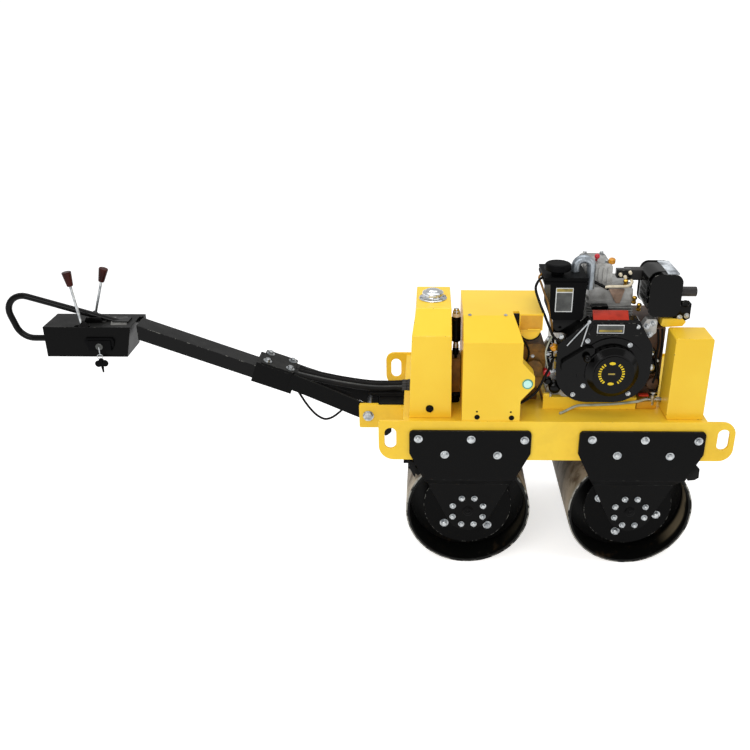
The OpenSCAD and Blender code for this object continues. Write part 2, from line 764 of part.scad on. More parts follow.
// Slotted heat guard bent round the muffler's upper edge, on two spacers
module muffler_guard() {
    reach = [muffler_y[0] + 12, manifold_y[0] - 4];
    gap = 8;
    sheet = 3;
    low = muffler_z[0] + 40;
    slot_pitch = [14, 18];
    rows = 4;
    columns = floor((reach[1] - reach[0] - 12) / slot_pitch[0]);
    color(BLACK) in_frame() {
        difference() {
            round_block([muffler_x[0] - gap - sheet, muffler_x[1]], reach,
                [low - 60, muffler_z[1] + gap + sheet], muffler_r + gap + sheet);
            round_block([muffler_x[0] - gap, muffler_x[1] + 1], [reach[0] - 1, reach[1] + 1],
                [low - 60, muffler_z[1] + gap], muffler_r + gap);
            block([muffler_x[0] - 50, muffler_x[1] + 1], [reach[0] - 1, reach[1] + 1], [low - 61, low]);
            block([muffler_x[0] + 46, muffler_x[1] + 1], [reach[0] - 1, reach[1] + 1], [low, muffler_z[1] + 50]);
            for (i = [0:columns - 1], k = [0:rows - 1])
                block([muffler_x[0] - gap - sheet - 1, muffler_x[0] - gap + 1],
                    [reach[0] + 9 + i * slot_pitch[0], reach[0] + 16 + i * slot_pitch[0]],
                    [low + 8 + k * slot_pitch[1], low + 19 + k * slot_pitch[1]]);
        }
        for (y = [reach[0], reach[1] - 12])
            block([muffler_x[0] - gap, muffler_x[0]], [y, y + 12], [low, low + 14]);
    }
}

tailpipe_y = -125;
tailpipe_z = muffler_z[0] + 68;
tailpipe_len = 62;

module tailpipe() {
    color(BLACK) in_frame() translate([muffler_x[1], tailpipe_y, tailpipe_z]) rotate([0, 90, 0])
        difference() {
            cylinder(r = tailpipe_r, h = tailpipe_len);
            translate([0, 0, 6]) cylinder(r = tailpipe_r - 2, h = tailpipe_len);
        }
}

manifold_y = [-75, -35];

module exhaust_manifold() {
    color("#3a2a22") in_frame() block([crank_x + 50, muffler_x[0]], manifold_y, [head_top - 62, head_top - 26]);
}

module decompression_lever() {
    a = [crank_x - 47, -60, head_top + 1.8];
    lift = [0, -10, 16];
    color("#b3261e") in_frame() {
        bar(a, a + lift, 4);
        translate(a + lift) sphere(r = 9);
    }
}

// ---- Handle --------------------------------------------------------------------------

// The fork: two arms, the stop bar between their tails, and the sleeve that holds the tube
module handle_fork() {
    sleeve_y = tube_w / 2 + sleeve_wall;
    straight = arm_h / 2 + 12;
    tail = [-arm_h / 2 + 8, 12];
    color(BLACK) in_frame() {
        on_slope(pivot_x, pivot_z, fork_tilt) difference() {
            for (side = [0, 1]) mirror([0, side, 0]) {
                intersection() {
                    translate([0, 0, -arm_h / 2]) linear_extrude(arm_h)
                        arm_plan(arm_out, sleeve_y + 3, straight);
                    across([0, arm_out]) {
                        translate([-fork_len - 12, -arm_h / 2]) square([fork_len + 12, arm_h]);
                        circle(arm_h / 2);
                    }
                }
                block([0, stop_arm], [arm_out - arm_t, arm_out], tail);
            }
            bar_y(pivot_d / 2 + running, [-arm_out - 1, arm_out + 1]);
        }
        translate([pivot_x + stop_arm * cos(tube_tilt), 0, pivot_z - stop_arm * sin(tube_tilt)])
            bar_y(stop_r, [-arm_out, arm_out]);
        on_slope(joint_x, tube_start_z, tube_tilt) difference() {
            block([-sleeve_len, 0], [-sleeve_y, sleeve_y], [-tube_h / 2 - sleeve_wall, tube_h / 2 + plate_rise]);
            block([-sleeve_len - 1, -12], [-tube_w / 2, tube_w / 2], [-tube_h / 2, tube_h / 2]);
        }
    }
}

// Plan of one arm: straight beside the pivot, then in towards the sleeve's side
module arm_plan(out, sleeve_y, straight) {
    polygon([[arm_h / 2, out], [-straight, out], [-fork_len + 30, sleeve_y], [-fork_len - 12, sleeve_y],
        [-fork_len - 12, sleeve_y - arm_t], [-fork_len + 30, sleeve_y - arm_t], [-straight, out - arm_t],
        [arm_h / 2, out - arm_t]]);
}

module handle_tube() {
    long = box_back * 1.2;
    color(BLACK) in_frame() intersection() {
        on_slope(joint_x, tube_start_z, tube_tilt) difference() {
            block([-long, -12], [-tube_w / 2, tube_w / 2], [-tube_h / 2, tube_h / 2]);
            block([-long - 1, -11], [-tube_w / 2 + 4, tube_w / 2 - 4], [-tube_h / 2 + 4, tube_h / 2 - 4]);
        }
        difference() {
            block([box_front_x - 60, pivot_x], [-100, 100], [0, 1500]);
            box_shape();
        }
    }
}

module joint_plate() {
    seat = tube_h / 2 + plate_rise;
    color(BLACK) in_frame() on_slope(joint_x, tube_start_z, tube_tilt)
        translate([0, 0, seat]) linear_extrude(10)
            round_rect([-sleeve_len + 16, -tube_w / 2 - 18], [-12, tube_w / 2 + 18], 8);
}

module box_shape() {
    across([-box_w / 2, box_w / 2])
        polygon([[box_rear_x, box_low], [box_front_x - 22, box_low], [box_front_x, box_top],
            [box_rear_x, box_top]]);
}

// Levers as [x behind the box's front, y, lean forward, height of the knob's foot]
levers = [[165, -55, -18, 141], [161, 48, 43, 124]];
lever_r = 4.5;
knob_h = 50;
slot_deep = 12;

module control_box() {
    tab = [14, 26];
    color(BLACK) in_frame() {
        difference() {
            box_shape();
            for (v = levers)
                translate([box_front_x - v[0], v[1], box_top - slot_deep])
                    block([-26, 26], [-8, 8], [0, slot_deep + 1]);
        }
        block([box_front_x - 3, box_front_x + tab[0]], [tube_w / 2 + 1, box_w / 2], [box_top - tab[1], box_top]);
    }
}

// Loop of bent tube for the operator's hands, its front end on a small plate
module handle_loop() {
    end_x = box_rear_x + loop_route[3][0];
    color(BLACK) in_frame() {
        difference() {
            translate([box_rear_x, 0, box_top]) tube_along(bent_line(loop_route, 0, 9), loop_d / 2, 20);
            box_shape();
        }
        block([end_x - 64, end_x + 2 - 12], [-loop_d, loop_d], [box_top, box_top + 5]);
    }
}

function lever_foot(v) = [box_front_x - v[0], v[1], box_top - slot_deep + lever_seat(v)];
// How far the end of a leaning rod stays above the slot's floor, so that its edge just clears it
function lever_seat(v) = lever_r * abs(v[2]) / norm([v[2], v[3]]) + 0.3;

module lever_rods() {
    color(SILVER) in_frame() for (v = levers)
        bar(lever_foot(v), [box_front_x - v[0] + v[2], v[1], box_top + v[3]], lever_r);
}

module lever_knobs() {
    color("#5a3324") in_frame() for (v = levers)
        translate([box_front_x - v[0] + v[2], v[1], box_top + v[3]])
            rotate([0, atan2(v[2], v[3] + slot_deep - lever_seat(v)), 0]) cylinder(r1 = 10, r2 = 16, h = knob_h);
}

module switch_pocket() {
    x = box_front_x - 70;
    color(BLACK) in_frame() {
        block([x - 80, x], [-box_w / 2 - 12, -box_w / 2], [box_low + 26, box_low + 64]);
    }
}

// Sleeve over the hoses that run down between the fork's arms
module hose_sleeve() {
    color(RUBBER) in_frame() on_slope(joint_x, tube_start_z, tube_tilt)
        bar([0, 8, 6], [fork_len - 80, 8, 6], 14);
}

// Control cable that hangs below the fork, held at the sleeve and at the hoses' end
cable_r = 4;
cable_route = [[-897, 0, 553], [-886, -1, 542], [-876, -3, 526], [-856, -6, 491], [-833, -8, 459],
    [-812, -9, 439], [-788, -9, 428], [-761, -8, 436], [-732, -4, 458], [-709, 2, 482], [-698, 6, 500]];

module cable_loop() { color(RUBBER) in_frame() tube_along(spline(cable_route, 2), cable_r); }

// ---- Nodes ---------------------------------------------------------------------------

side_plate_right();
side_plate_left();
deck();
cross_members();
hitch_brackets();
hitch_bolt();
rest_buffer();
carrier_rear_right();
carrier_front_right();
carrier_rear_left();
carrier_front_left();
hub_housings();
scraper_bars();
rear_drum();
rear_buffer_discs();
rear_buffers();
front_drum();
front_buffer_discs();
front_buffers();
oil_tank();
oil_cap();
belt_cover();
hydraulic_pump();
oil_filter();
engine_bed();
engine_block();
fan_shroud();
recoil_starter();
cylinder_fins();
rocker_cover();
air_filter();
air_filter_lid();
intake_cap();
intake_elbow();
muffler();
muffler_guard();
tailpipe();
exhaust_manifold();
decompression_lever();
water_tank();
drain_cock();
drain_hose();
handle_fork();
handle_tube();
joint_plate();
control_box();
handle_loop();
lever_rods();
lever_knobs();
switch_pocket();
hose_sleeve();
cable_loop();
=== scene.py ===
import json
import math

import bmesh
import bpy
from mathutils import Matrix, Vector


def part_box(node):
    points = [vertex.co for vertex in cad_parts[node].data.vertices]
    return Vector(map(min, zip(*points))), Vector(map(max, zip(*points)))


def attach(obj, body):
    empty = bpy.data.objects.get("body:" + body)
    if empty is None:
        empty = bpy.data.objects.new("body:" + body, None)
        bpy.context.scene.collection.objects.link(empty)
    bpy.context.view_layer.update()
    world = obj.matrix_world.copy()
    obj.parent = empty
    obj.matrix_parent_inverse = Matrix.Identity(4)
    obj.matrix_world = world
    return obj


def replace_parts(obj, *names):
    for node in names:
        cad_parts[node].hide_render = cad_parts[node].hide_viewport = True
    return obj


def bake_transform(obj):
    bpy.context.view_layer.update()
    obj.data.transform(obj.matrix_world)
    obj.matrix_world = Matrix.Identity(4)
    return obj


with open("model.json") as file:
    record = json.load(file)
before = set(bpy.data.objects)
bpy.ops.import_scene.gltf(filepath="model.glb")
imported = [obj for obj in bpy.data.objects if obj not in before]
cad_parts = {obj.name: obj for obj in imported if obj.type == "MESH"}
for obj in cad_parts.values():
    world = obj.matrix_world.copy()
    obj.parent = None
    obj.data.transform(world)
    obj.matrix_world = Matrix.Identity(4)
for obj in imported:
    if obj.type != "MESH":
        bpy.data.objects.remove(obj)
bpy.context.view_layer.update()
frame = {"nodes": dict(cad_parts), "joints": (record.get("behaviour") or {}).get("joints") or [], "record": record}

# ---- The machine's own places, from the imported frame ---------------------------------

MM = 0.001
JOINTS = {joint["name"]: Vector(joint["pos_m"]) for joint in frame["joints"]}
REAR = JOINTS["rear_drum_turn"]
FRONT = JOINTS["front_drum_turn"]
MIDDLE = (REAR.x + FRONT.x) / 2
SLOTS = {part["node"]: part["material_slot"] for part in frame["record"]["subparts"]}
BODY_OF = {node: body for body, nodes in frame["record"]["behaviour"]["bodies"].items() for node in nodes}


def at(x, y, z):
    """A point given in millimetres from the machine's middle, on the ground."""
    return Vector((MIDDLE + x * MM, y * MM, z * MM))


# ---- Camera --------------------------------------------------------------------------

CAMERA_PLACE = at(-424.0, -2795.6, 1853.0)
PITCH = math.radians(24.77)
YAW = math.radians(0.23)
ROLL = math.radians(0.23)

camera_data = bpy.data.cameras.new("camera")
camera_data.sensor_width = 36
camera_data.lens = 41.475
camera_data.shift_x = -0.064
camera_data.shift_y = 0.01275
camera = bpy.data.objects.new("camera", camera_data)
camera.matrix_world = (
    Matrix.Translation(CAMERA_PLACE)
    @ Matrix.Rotation(YAW, 4, "Z")
    @ Matrix.Rotation(math.pi / 2 - PITCH, 4, "X")
    @ Matrix.Rotation(ROLL, 4, "Z")
)
bpy.context.scene.collection.objects.link(camera)
bpy.context.scene.camera = camera


# ---- Shader maths --------------------------------------------------------------------


class Value:
    """A socket that works in Python expressions: each operator adds a Math node."""

    def __init__(self, tree, socket):
        self.tree = tree
        self.socket = socket

    def math(self, operation, first, second):
        return self.tree.node("ShaderNodeMath", {"operation": operation}, {0: first, 1: second})

    def __add__(self, other):
        return self.math("ADD", self, other)

    def __radd__(self, other):
        return self.math("ADD", other, self)

    def __sub__(self, other):
        return self.math("SUBTRACT", self, other)

    def __rsub__(self, other):
        return self.math("SUBTRACT", other, self)

    def __mul__(self, other):
        return self.math("MULTIPLY", self, other)

    def __rmul__(self, other):
        return self.math("MULTIPLY", other, self)

    def __pow__(self, other):
        return self.math("POWER", self, other)


class Tree:
    """A node tree of a material or of Geometry Nodes."""

    def __init__(self, tree):
        self.tree = tree

    def node(self, kind, settings=None, inputs=None, output=0):
        """Adds a node: its settings first, then the values or links of its sockets."""
        made = self.tree.nodes.new(kind)
        for name, value in (settings or {}).items():
            setattr(made, name, value)
        for name, value in (inputs or {}).items():
            for one in value if isinstance(value, list) else [value]:
                if isinstance(one, Value):
                    self.tree.links.new(one.socket, made.inputs[name])
                else:
                    made.inputs[name].default_value = one
        return Value(self, made.outputs[output]) if len(made.outputs) else made


def colour(code):
    """A web colour such as f0c030 as linear light."""
    parts = [int(code[i : i + 2], 16) / 255 for i in (0, 2, 4)]
    linear = [c / 12.92 if c <= 0.04045 else ((c + 0.055) / 1.055) ** 2.4 for c in parts]
    return (*linear, 1.0)


class Finish(Tree):
    """A material on the Principled shader, with the patterns that its finish is mixed from."""

    def __init__(self, name):
        self.material = bpy.data.materials.new(name)
        self.material.use_nodes = True
        super().__init__(self.material.node_tree)
        self.tree.nodes.clear()
        self.place = self.node("ShaderNodeTexCoord", output="Object")
        self.facing = self.node("ShaderNodeTexCoord", output="Normal")

    def axis(self, vector, letter):
        return self.node("ShaderNodeSeparateXYZ", {}, {0: vector}, output=letter)

    def noise(self, scale, detail=3.0, rough=0.55, stretch=(1, 1, 1)):
        spread = self.node("ShaderNodeMapping", {}, {"Vector": self.place, "Scale": stretch})
        return self.node(
            "ShaderNodeTexNoise", {}, {"Vector": spread, "Scale": scale, "Detail": detail, "Roughness": rough}
        )

    def step(self, value, low, high):
        """0 below low, 1 above high, smooth between them."""
        return self.node(
            "ShaderNodeMapRange",
            {"interpolation_type": "SMOOTHSTEP"},
            {"Value": value, "From Min": low, "From Max": high},
        )

    def mix(self, mask, under, over):
        return self.node("ShaderNodeMix", {"data_type": "RGBA"}, {0: mask, 6: under, 7: over}, output=2)

    def attribute(self, name):
        return self.node("ShaderNodeAttribute", {"attribute_name": name}, output="Fac")

    def bump(self, height, depth, strength=1.0, normal=None):
        inputs = {"Height": height, "Distance": depth, "Strength": strength}
        if normal:
            inputs["Normal"] = normal
        return self.node("ShaderNodeBump", {}, inputs)

    def done(self, **inputs):
        named = {key.replace("_", " ").title().replace("Ior", "IOR"): value for key, value in inputs.items()}
        shader = self.node("ShaderNodeBsdfPrincipled", {}, named)
        self.tree.links.new(shader.socket, self.tree.nodes.new("ShaderNodeOutputMaterial").inputs["Surface"])
        return self.material


# ---- Finishes ------------------------------------------------------------------------


def yellow_enamel():
    f = Finish("yellow_enamel")
    drift = f.noise(3.0, 4.0)
    body = f.mix(f.step(drift, 0.35, 0.7), colour("f2c62e"), colour("f7d03a"))
    scuffs = f.step(f.noise(38.0, 6.0, 0.7, (1, 1, 2.4)), 0.66, 0.76) * 0.3
    body = f.mix(scuffs, body, colour("d9ac3a"))
    grime = f.step(f.axis(f.place, "Z"), 0.6, 0.545) * f.step(f.noise(16.0, 5.0, 0.65), 0.42, 0.7)
    body = f.mix(grime * 0.12, body, colour("b58420"))
    # Rounded edges lightened towards ffd95e: partly worn paint, partly a painted highlight along the edges
    rubbed_and_lit_edge = f.attribute("edge") * f.step(f.noise(60.0, 4.0), 0.45, 0.62)
    body = f.mix(rubbed_and_lit_edge * 0.4, body, colour("ffd95e"))
    chips = f.attribute("edge") * f.step(f.noise(150.0, 3.0), 0.63, 0.68)
    body = f.mix(chips * 0.8, body, colour("5c4a2a"))
    peel = f.bump(f.noise(420.0, 2.0), 0.0004, 0.2)
    return f.done(
        base_color=body,
        roughness=0.36 + 0.15 * f.noise(12.0) + scuffs * 0.3,
        specular_ior_level=0.35,
        coat_weight=0.12,
        normal=f.bump(drift, 0.004, 0.2, peel),
    )


def black_enamel(name="black_enamel", tone="060606", dusty=0.1, gloss=0.3, shine=0.07, edge_wear_and_glint=0.4):
    """Black paint with a thin film of dust on what faces up, and grey edges that are partly worn and, where the
    last argument is high, a painted highlight.
    """
    f = Finish(name)
    up = f.step(f.axis(f.facing, "Z"), 0.5, 0.98)
    dust = up * (0.35 + 0.65 * f.step(f.noise(14.0, 5.0, 0.65), 0.35, 0.72)) * dusty
    marks = f.step(f.noise(45.0, 6.0, 0.7), 0.66, 0.76)
    body = f.mix(dust, colour(tone), colour("8a8a88"))
    body = f.mix(marks * 0.16, body, colour("45443f"))
    # Grey rounded edges: real wear, turned up by the last argument into painted highlight lines
    rubbed_and_lit_edge = f.attribute("edge") * f.step(f.noise(90.0, 4.0), 0.54, 0.64)
    body = f.mix(rubbed_and_lit_edge * edge_wear_and_glint, body, colour("6a6964"))
    peel = f.bump(f.noise(350.0, 2.0), 0.0005, 0.25)
    return f.done(
        base_color=body,
        roughness=gloss + 0.12 * f.noise(16.0) + dust * 0.5 + marks * 0.12,
        specular_ior_level=shine,
        normal=f.bump(f.noise(7.0), 0.003, 0.2, peel),
    )


def metal(name, light, dark, rough=0.3, grain=120.0, depth=0.0002, metallic=1.0, blotch=18.0):
    f = Finish(name)
    cloud = f.noise(blotch, 5.0, 0.65)
    fine = f.noise(grain, 4.0)
    body = f.mix(f.step(cloud, 0.35, 0.72), colour(light), colour(dark))
    body = f.mix(f.step(fine, 0.6, 0.75) * 0.4, body, colour(dark))
    return f.done(
        base_color=body,
        roughness=rough + 0.18 * cloud,
        metallic=metallic,
        normal=f.bump(fine, depth, 0.6),
    )


def moulded(name, light, dark, rough=0.45, grain=260.0, depth=0.0003, coat=0.0, shine=0.3):
    f = Finish(name)
    cloud = f.noise(20.0, 4.0)
    fine = f.noise(grain, 3.0)
    body = f.mix(f.step(cloud, 0.35, 0.7), colour(light), colour(dark))
    return f.done(
        base_color=body,
        roughness=rough + 0.15 * cloud,
        specular_ior_level=shine,
        coat_weight=coat,
        normal=f.bump(fine, depth, 0.5),
    )


def drum_steel(name, axle, dirty):
    """Bare rolled shell, with black paint inside that has worn off at the lip. Radii and depths in metres."""
    f = Finish(name)
    x = f.axis(f.place, "X") - axle.x
    z = f.axis(f.place, "Z") - axle.z
    radius = (x * x + z * z) ** 0.5
    depth = f.node("ShaderNodeMath", {"operation": "ABSOLUTE"}, {0: f.axis(f.place, "Y")})
    shell = f.step(radius, 0.2095, 0.2112) * f.step(depth, 0.2748, 0.2738)
    lip = f.step(radius, 0.2068, 0.2086) * f.step(depth, 0.2690, 0.2735)
    streak = f.noise(9.0, 6.0, 0.7, (1, 5, 1))
    patch = f.noise(14.0, 6.0, 0.62)
    bare = f.mix(f.step(streak, 0.35, 0.65), colour("5f574a"), colour("8d8271"))
    bare = f.mix(f.step(depth, 0.1, 0.25) * f.step(patch, 0.7, 0.4), bare, colour("b8aa94"))
    bare = f.mix(f.step(patch, 0.52, 0.68) * 0.75, bare, colour("5d4830"))
    bare = f.mix(f.step(f.noise(110.0, 3.0), 0.62, 0.7) * 0.6, bare, colour("332c24"))
    rust = f.step(f.noise(11.0, 6.0, 0.7), 0.56, 0.7) * f.step(z, -0.08, -0.2)
    inner = f.mix(rust * 0.6, colour("0b0b0a"), colour("4a3a28"))
    inner = f.mix(f.step(f.noise(60.0, 5.0, 0.7), 0.6, 0.72) * 0.25, inner, colour("5e5a50"))
    forward = f.step(x, 0.12, 0.19)
    dirt = forward * f.step(depth, 0.19, 0.21) * f.step(depth, 0.252, 0.238) * f.step(patch, 0.3, 0.5)
    inner = f.mix(dirt * dirty, inner, colour("857860"))
    body = f.mix(shell, inner, bare)
    body = f.mix(lip * f.step(f.noise(34.0, 5.0, 0.65), 0.4, 0.56) * 0.85, body, colour("aaa89f"))
    metallic = shell * (0.4 - 0.25 * f.step(patch, 0.5, 0.7))
    return f.done(
        base_color=body,
        metallic=metallic,
        roughness=0.3 + 0.2 * patch + shell * 0.15,
        specular_ior_level=0.12,
        normal=f.bump(patch, 0.0012, 0.5, f.bump(f.noise(240.0, 3.0), 0.0005, 0.4)),
    )


YELLOW = yellow_enamel()
BLACK = black_enamel()
# The last argument lifts grey edges into painted highlight lines on the engine and handle, and into a painted
# glint round the buffer discs' rims
ENGINE_BLACK = black_enamel("engine_black", "030303", 0.03, 0.08, 0.13, 0.9)
GLOSS_BLACK = black_enamel("gloss_black", "050505", 0.06, 0.12, 0.12, 0.9)
DISC_BLACK = black_enamel("disc_enamel", "050505", 0.05, 0.25, 0.05, 1.6)
ZINC = metal("zinc_plate", "c0c3c4", "7a7e82", 0.26, 160.0, 0.0003, blotch=70.0)
# Near-black steel that stands for the painted shade in the bolts' cross recesses
RECESS_SHADE = metal("dark_steel", "26282a", "121314", 0.5, 160.0, 0.0003, 0.1)
CHROME = metal("chrome", "e6e8ea", "b9bdc0", 0.08, 60.0, 0.0001)
ALUMINIUM = metal("cast_aluminium", "b4b4b2", "84837f", 0.42, 300.0, 0.0006, 0.8)
GREY_CAST = metal("grey_elbow", "a3aab0", "6b7279", 0.25, 260.0, 0.0004, 0.75)
SCORCHED = metal("scorched_iron", "211e1d", "0f0d0c", 0.42, 90.0, 0.0008, 0.1)
MUSTARD = metal("mustard_housing", "8a5f12", "4d370f", 0.5, 80.0, 0.0008, 0.0)
BRASS = metal("brass", "d9b04e", "a67d2c", 0.25, 90.0, 0.0002)
RUBBER = moulded("rubber", "0c0c0c", "151414", 0.5, shine=0.1)
PLASTIC = moulded("black_plastic", "050506", "090909", 0.45, shine=0.05)
KNOB = moulded("brown_knob", "3c1109", "220806", 0.16, 40.0, 0.0001, shine=0.12)
HOSE = moulded("cloudy_hose", "b4baae", "8b9384", 0.2, 30.0, 0.0002, 0.5)
HOSE_GREY = moulded("weathered_hose", "2a2b2b", "4a4b4a", 0.45, 90.0, 0.0005)
RED = moulded("red_plastic", "c81c2c", "96121c", 0.22, 60.0, 0.0001, 0.4)
AMBER = moulded("amber_plastic", "e09a18", "a86a10", 0.3, 60.0, 0.0001, 0.3)
CREAM = moulded("cream_plastic", "e6dcc4", "bfb296", 0.35, 80.0, 0.0001, 0.2)
PALE = moulded("blank_plate", "dcdedd", "c4c7c6", 0.3, 120.0, 0.0001, 0.3)
DULL_GOLD = moulded("blank_gold_panel", "a8923c", "5f5526", 0.35, 120.0, 0.0001, 0.3)
SIGHT = moulded("sight_glass", "c8f5ea", "a2e4d6", 0.1, 60.0, 0.0001, 0.8)
TEAL = moulded("teal_ring", "4aa08c", "347a6a", 0.25, 60.0, 0.0001, 0.4)
SLATE = moulded("blank_slate_panel", "4c4e4c", "2c2d2c", 0.4, 120.0, 0.0001, 0.2)
PALE_SMOKE = moulded("smoky_plate", "8e8f8c", "565450", 0.25, 90.0, 0.0001, 0.2)
TICK_YELLOW = moulded("tick_yellow", "f0d21e", "d8b810", 0.3, 120.0, 0.0001, 0.2)
BROWN_CAST = metal("brown_casting", "a48a78", "6c5749", 0.5, 220.0, 0.0006, 0.4)
# A darker yellow that is painted shade: yellow paint as it looks in shadow, on the duct's face and the bed's end
SHADED_YELLOW = metal("ochre_enamel", "d39a1e", "c18a18", 0.42, 60.0, 0.0004, 0.0)
WARM_RED = moulded("red_strip", "a82c1a", "7c2012", 0.4, 120.0, 0.0001, shine=0.2)
# Dark brown that is painted shade of the engine's side beside the water tank
SHADED_BROWN = metal("oily_casting", "4a2c12", "20130a", 0.5, 120.0, 0.0008, 0.0, 26.0)
# A painted reflection: bright patches on dark, for the shine on the muffler's top
GLARE = moulded("glossy_label", "dfe6ec", "4a4e54", 0.15, 90.0, 0.0001, shine=0.5)

# The finishes that belong to each material slot. The first is the slot's own
FINISHES = {
    "yellow_paint": (YELLOW, SHADED_YELLOW, TICK_YELLOW),
    "black_paint": (BLACK, GLOSS_BLACK, DISC_BLACK),
    "zinc": (ZINC, CHROME, BRASS, RECESS_SHADE),
    "rubber": (RUBBER, HOSE_GREY),
    "black_plastic": (PLASTIC,),
    "knob_brown": (KNOB,),
    "engine_black": (ENGINE_BLACK, SHADED_BROWN),
    "aluminium": (ALUMINIUM, BROWN_CAST, CREAM, PALE, SLATE, DULL_GOLD, PALE_SMOKE, GLARE),
    "elbow_grey": (GREY_CAST,),
    "exhaust_rust": (SCORCHED,),
    "pump_paint": (MUSTARD,),
    "hose_clear": (HOSE, TEAL, SIGHT),
    "red_plastic": (RED, AMBER, WARM_RED),
}
BY_NODE = {
    "rear_drum": drum_steel("rear_shell", REAR, 0.1),
    "front_drum": drum_steel("front_shell", FRONT, 0.8),
    "rear_buffer_discs": DISC_BLACK,
    "front_buffer_discs": DISC_BLACK,
    "handle_loop": GLOSS_BLACK,
    "handle_tube": GLOSS_BLACK,
}


def finish_of(node):
    return BY_NODE.get(node) or FINISHES[SLOTS[node]][0]


# ---- Mesh helpers --------------------------------------------------------------------

UP = (0, 0, 1)
NEAR = (0, -1, 0)
FORWARD = (1, 0, 0)
ARC_STEPS = 5
CORD_SIDES = 16


def add(name, mesh, finish, body="chassis"):
    """Links a finished mesh as a piece of the machine. A piece given no body is left without one."""
    piece = bpy.data.objects.new(name, mesh)
    bpy.context.scene.collection.objects.link(piece)
    mesh.materials.clear()
    mesh.materials.append(finish)
    if body:
        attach(piece, body)
    return piece


def smooth(mesh, angle=38):
    mesh.shade_smooth()
    mesh.set_sharp_from_angle(angle=math.radians(angle))


def round_edges(shape, width, angle):
    """Rounds edges sharper than an angle by width millimetres, and marks the new faces, which the enamels paint as
    worn edges and as painted highlights.
    """
    mark = shape.faces.layers.float.new("edge")
    if width:
        sharp = [edge for edge in shape.edges if edge.calc_face_angle(0) > math.radians(angle)]
        made = bmesh.ops.bevel(
            shape, geom=sharp, offset=width * MM, segments=2, profile=0.5, affect="EDGES", clamp_overlap=True
        )
        for face in made["faces"]:
            face[mark] = 1.0


def spline(points, steps):
    """A smooth line through points, as the routes of hoses and cables are drawn."""
    line = []
    last = len(points) - 1
    for i in range(last):
        a, b, c, d = points[max(0, i - 1)], points[i], points[i + 1], points[min(last, i + 2)]
        for k in range(steps):
            t = k / steps
            line.append(
                b
                + t * (c - a) / 2
                + t * t * (2 * a - 5 * b + 4 * c - d) / 2
                + t * t * t * (3 * b - a - 3 * c + d) / 2
            )
    return line + [points[last]]


def rings_along(line, radius, sides, side=None):
    """Rings of points round a line. Each starts towards side, or as near as it can to the one before."""
    across = (line[1] - line[0]).orthogonal().normalized()
    turns = [2 * math.pi * k / sides for k in range(sides)]
    rings = []
    for i, point in enumerate(line):
        ahead = (line[min(len(line) - 1, i + 1)] - line[max(0, i - 1)]).normalized()
        start = across if side is None else side
        across = (start - ahead * start.dot(ahead)).normalized()
        up = ahead.cross(across)
        rings.append([point + radius * (math.cos(a) * across + math.sin(a) * up) for a in turns])
    return rings


def circle(centre, radius, degrees, axis="Y"):
    """Points at angles round a centre, in the upright plane or, about Z, in the level one."""
    x, y, z = centre
    turns = [math.radians(angle) for angle in degrees]
    if axis == "Z":
        return [(x + radius * math.cos(a), y + radius * math.sin(a), z) for a in turns]
    return [(x + radius * math.cos(a), y, z + radius * math.sin(a)) for a in turns]


def rounded(corners, radius):
    """The corners of a flat outline, each turned into an arc."""
    line = []
    for i, corner in enumerate(corners):
        here = Vector((*corner, 0))
        back = (Vector((*corners[i - 1], 0)) - here).normalized()
        ahead = (Vector((*corners[(i + 1) % len(corners)], 0)) - here).normalized()
        half = back.angle(ahead) / 2
        centre = here + (back + ahead).normalized() * radius / math.sin(half)
        start = here + back * radius / math.tan(half) - centre
        end = here + ahead * radius / math.tan(half) - centre
        line += [(centre + start.slerp(end, k / ARC_STEPS)).to_2d() for k in range(ARC_STEPS + 1)]
    return line


def rectangle(low, high):
    return [(low[0], low[1]), (high[0], low[1]), (high[0], high[1]), (low[0], high[1])]


def round_rect(low, high, radius):
    return rounded(rectangle(low, high), radius)


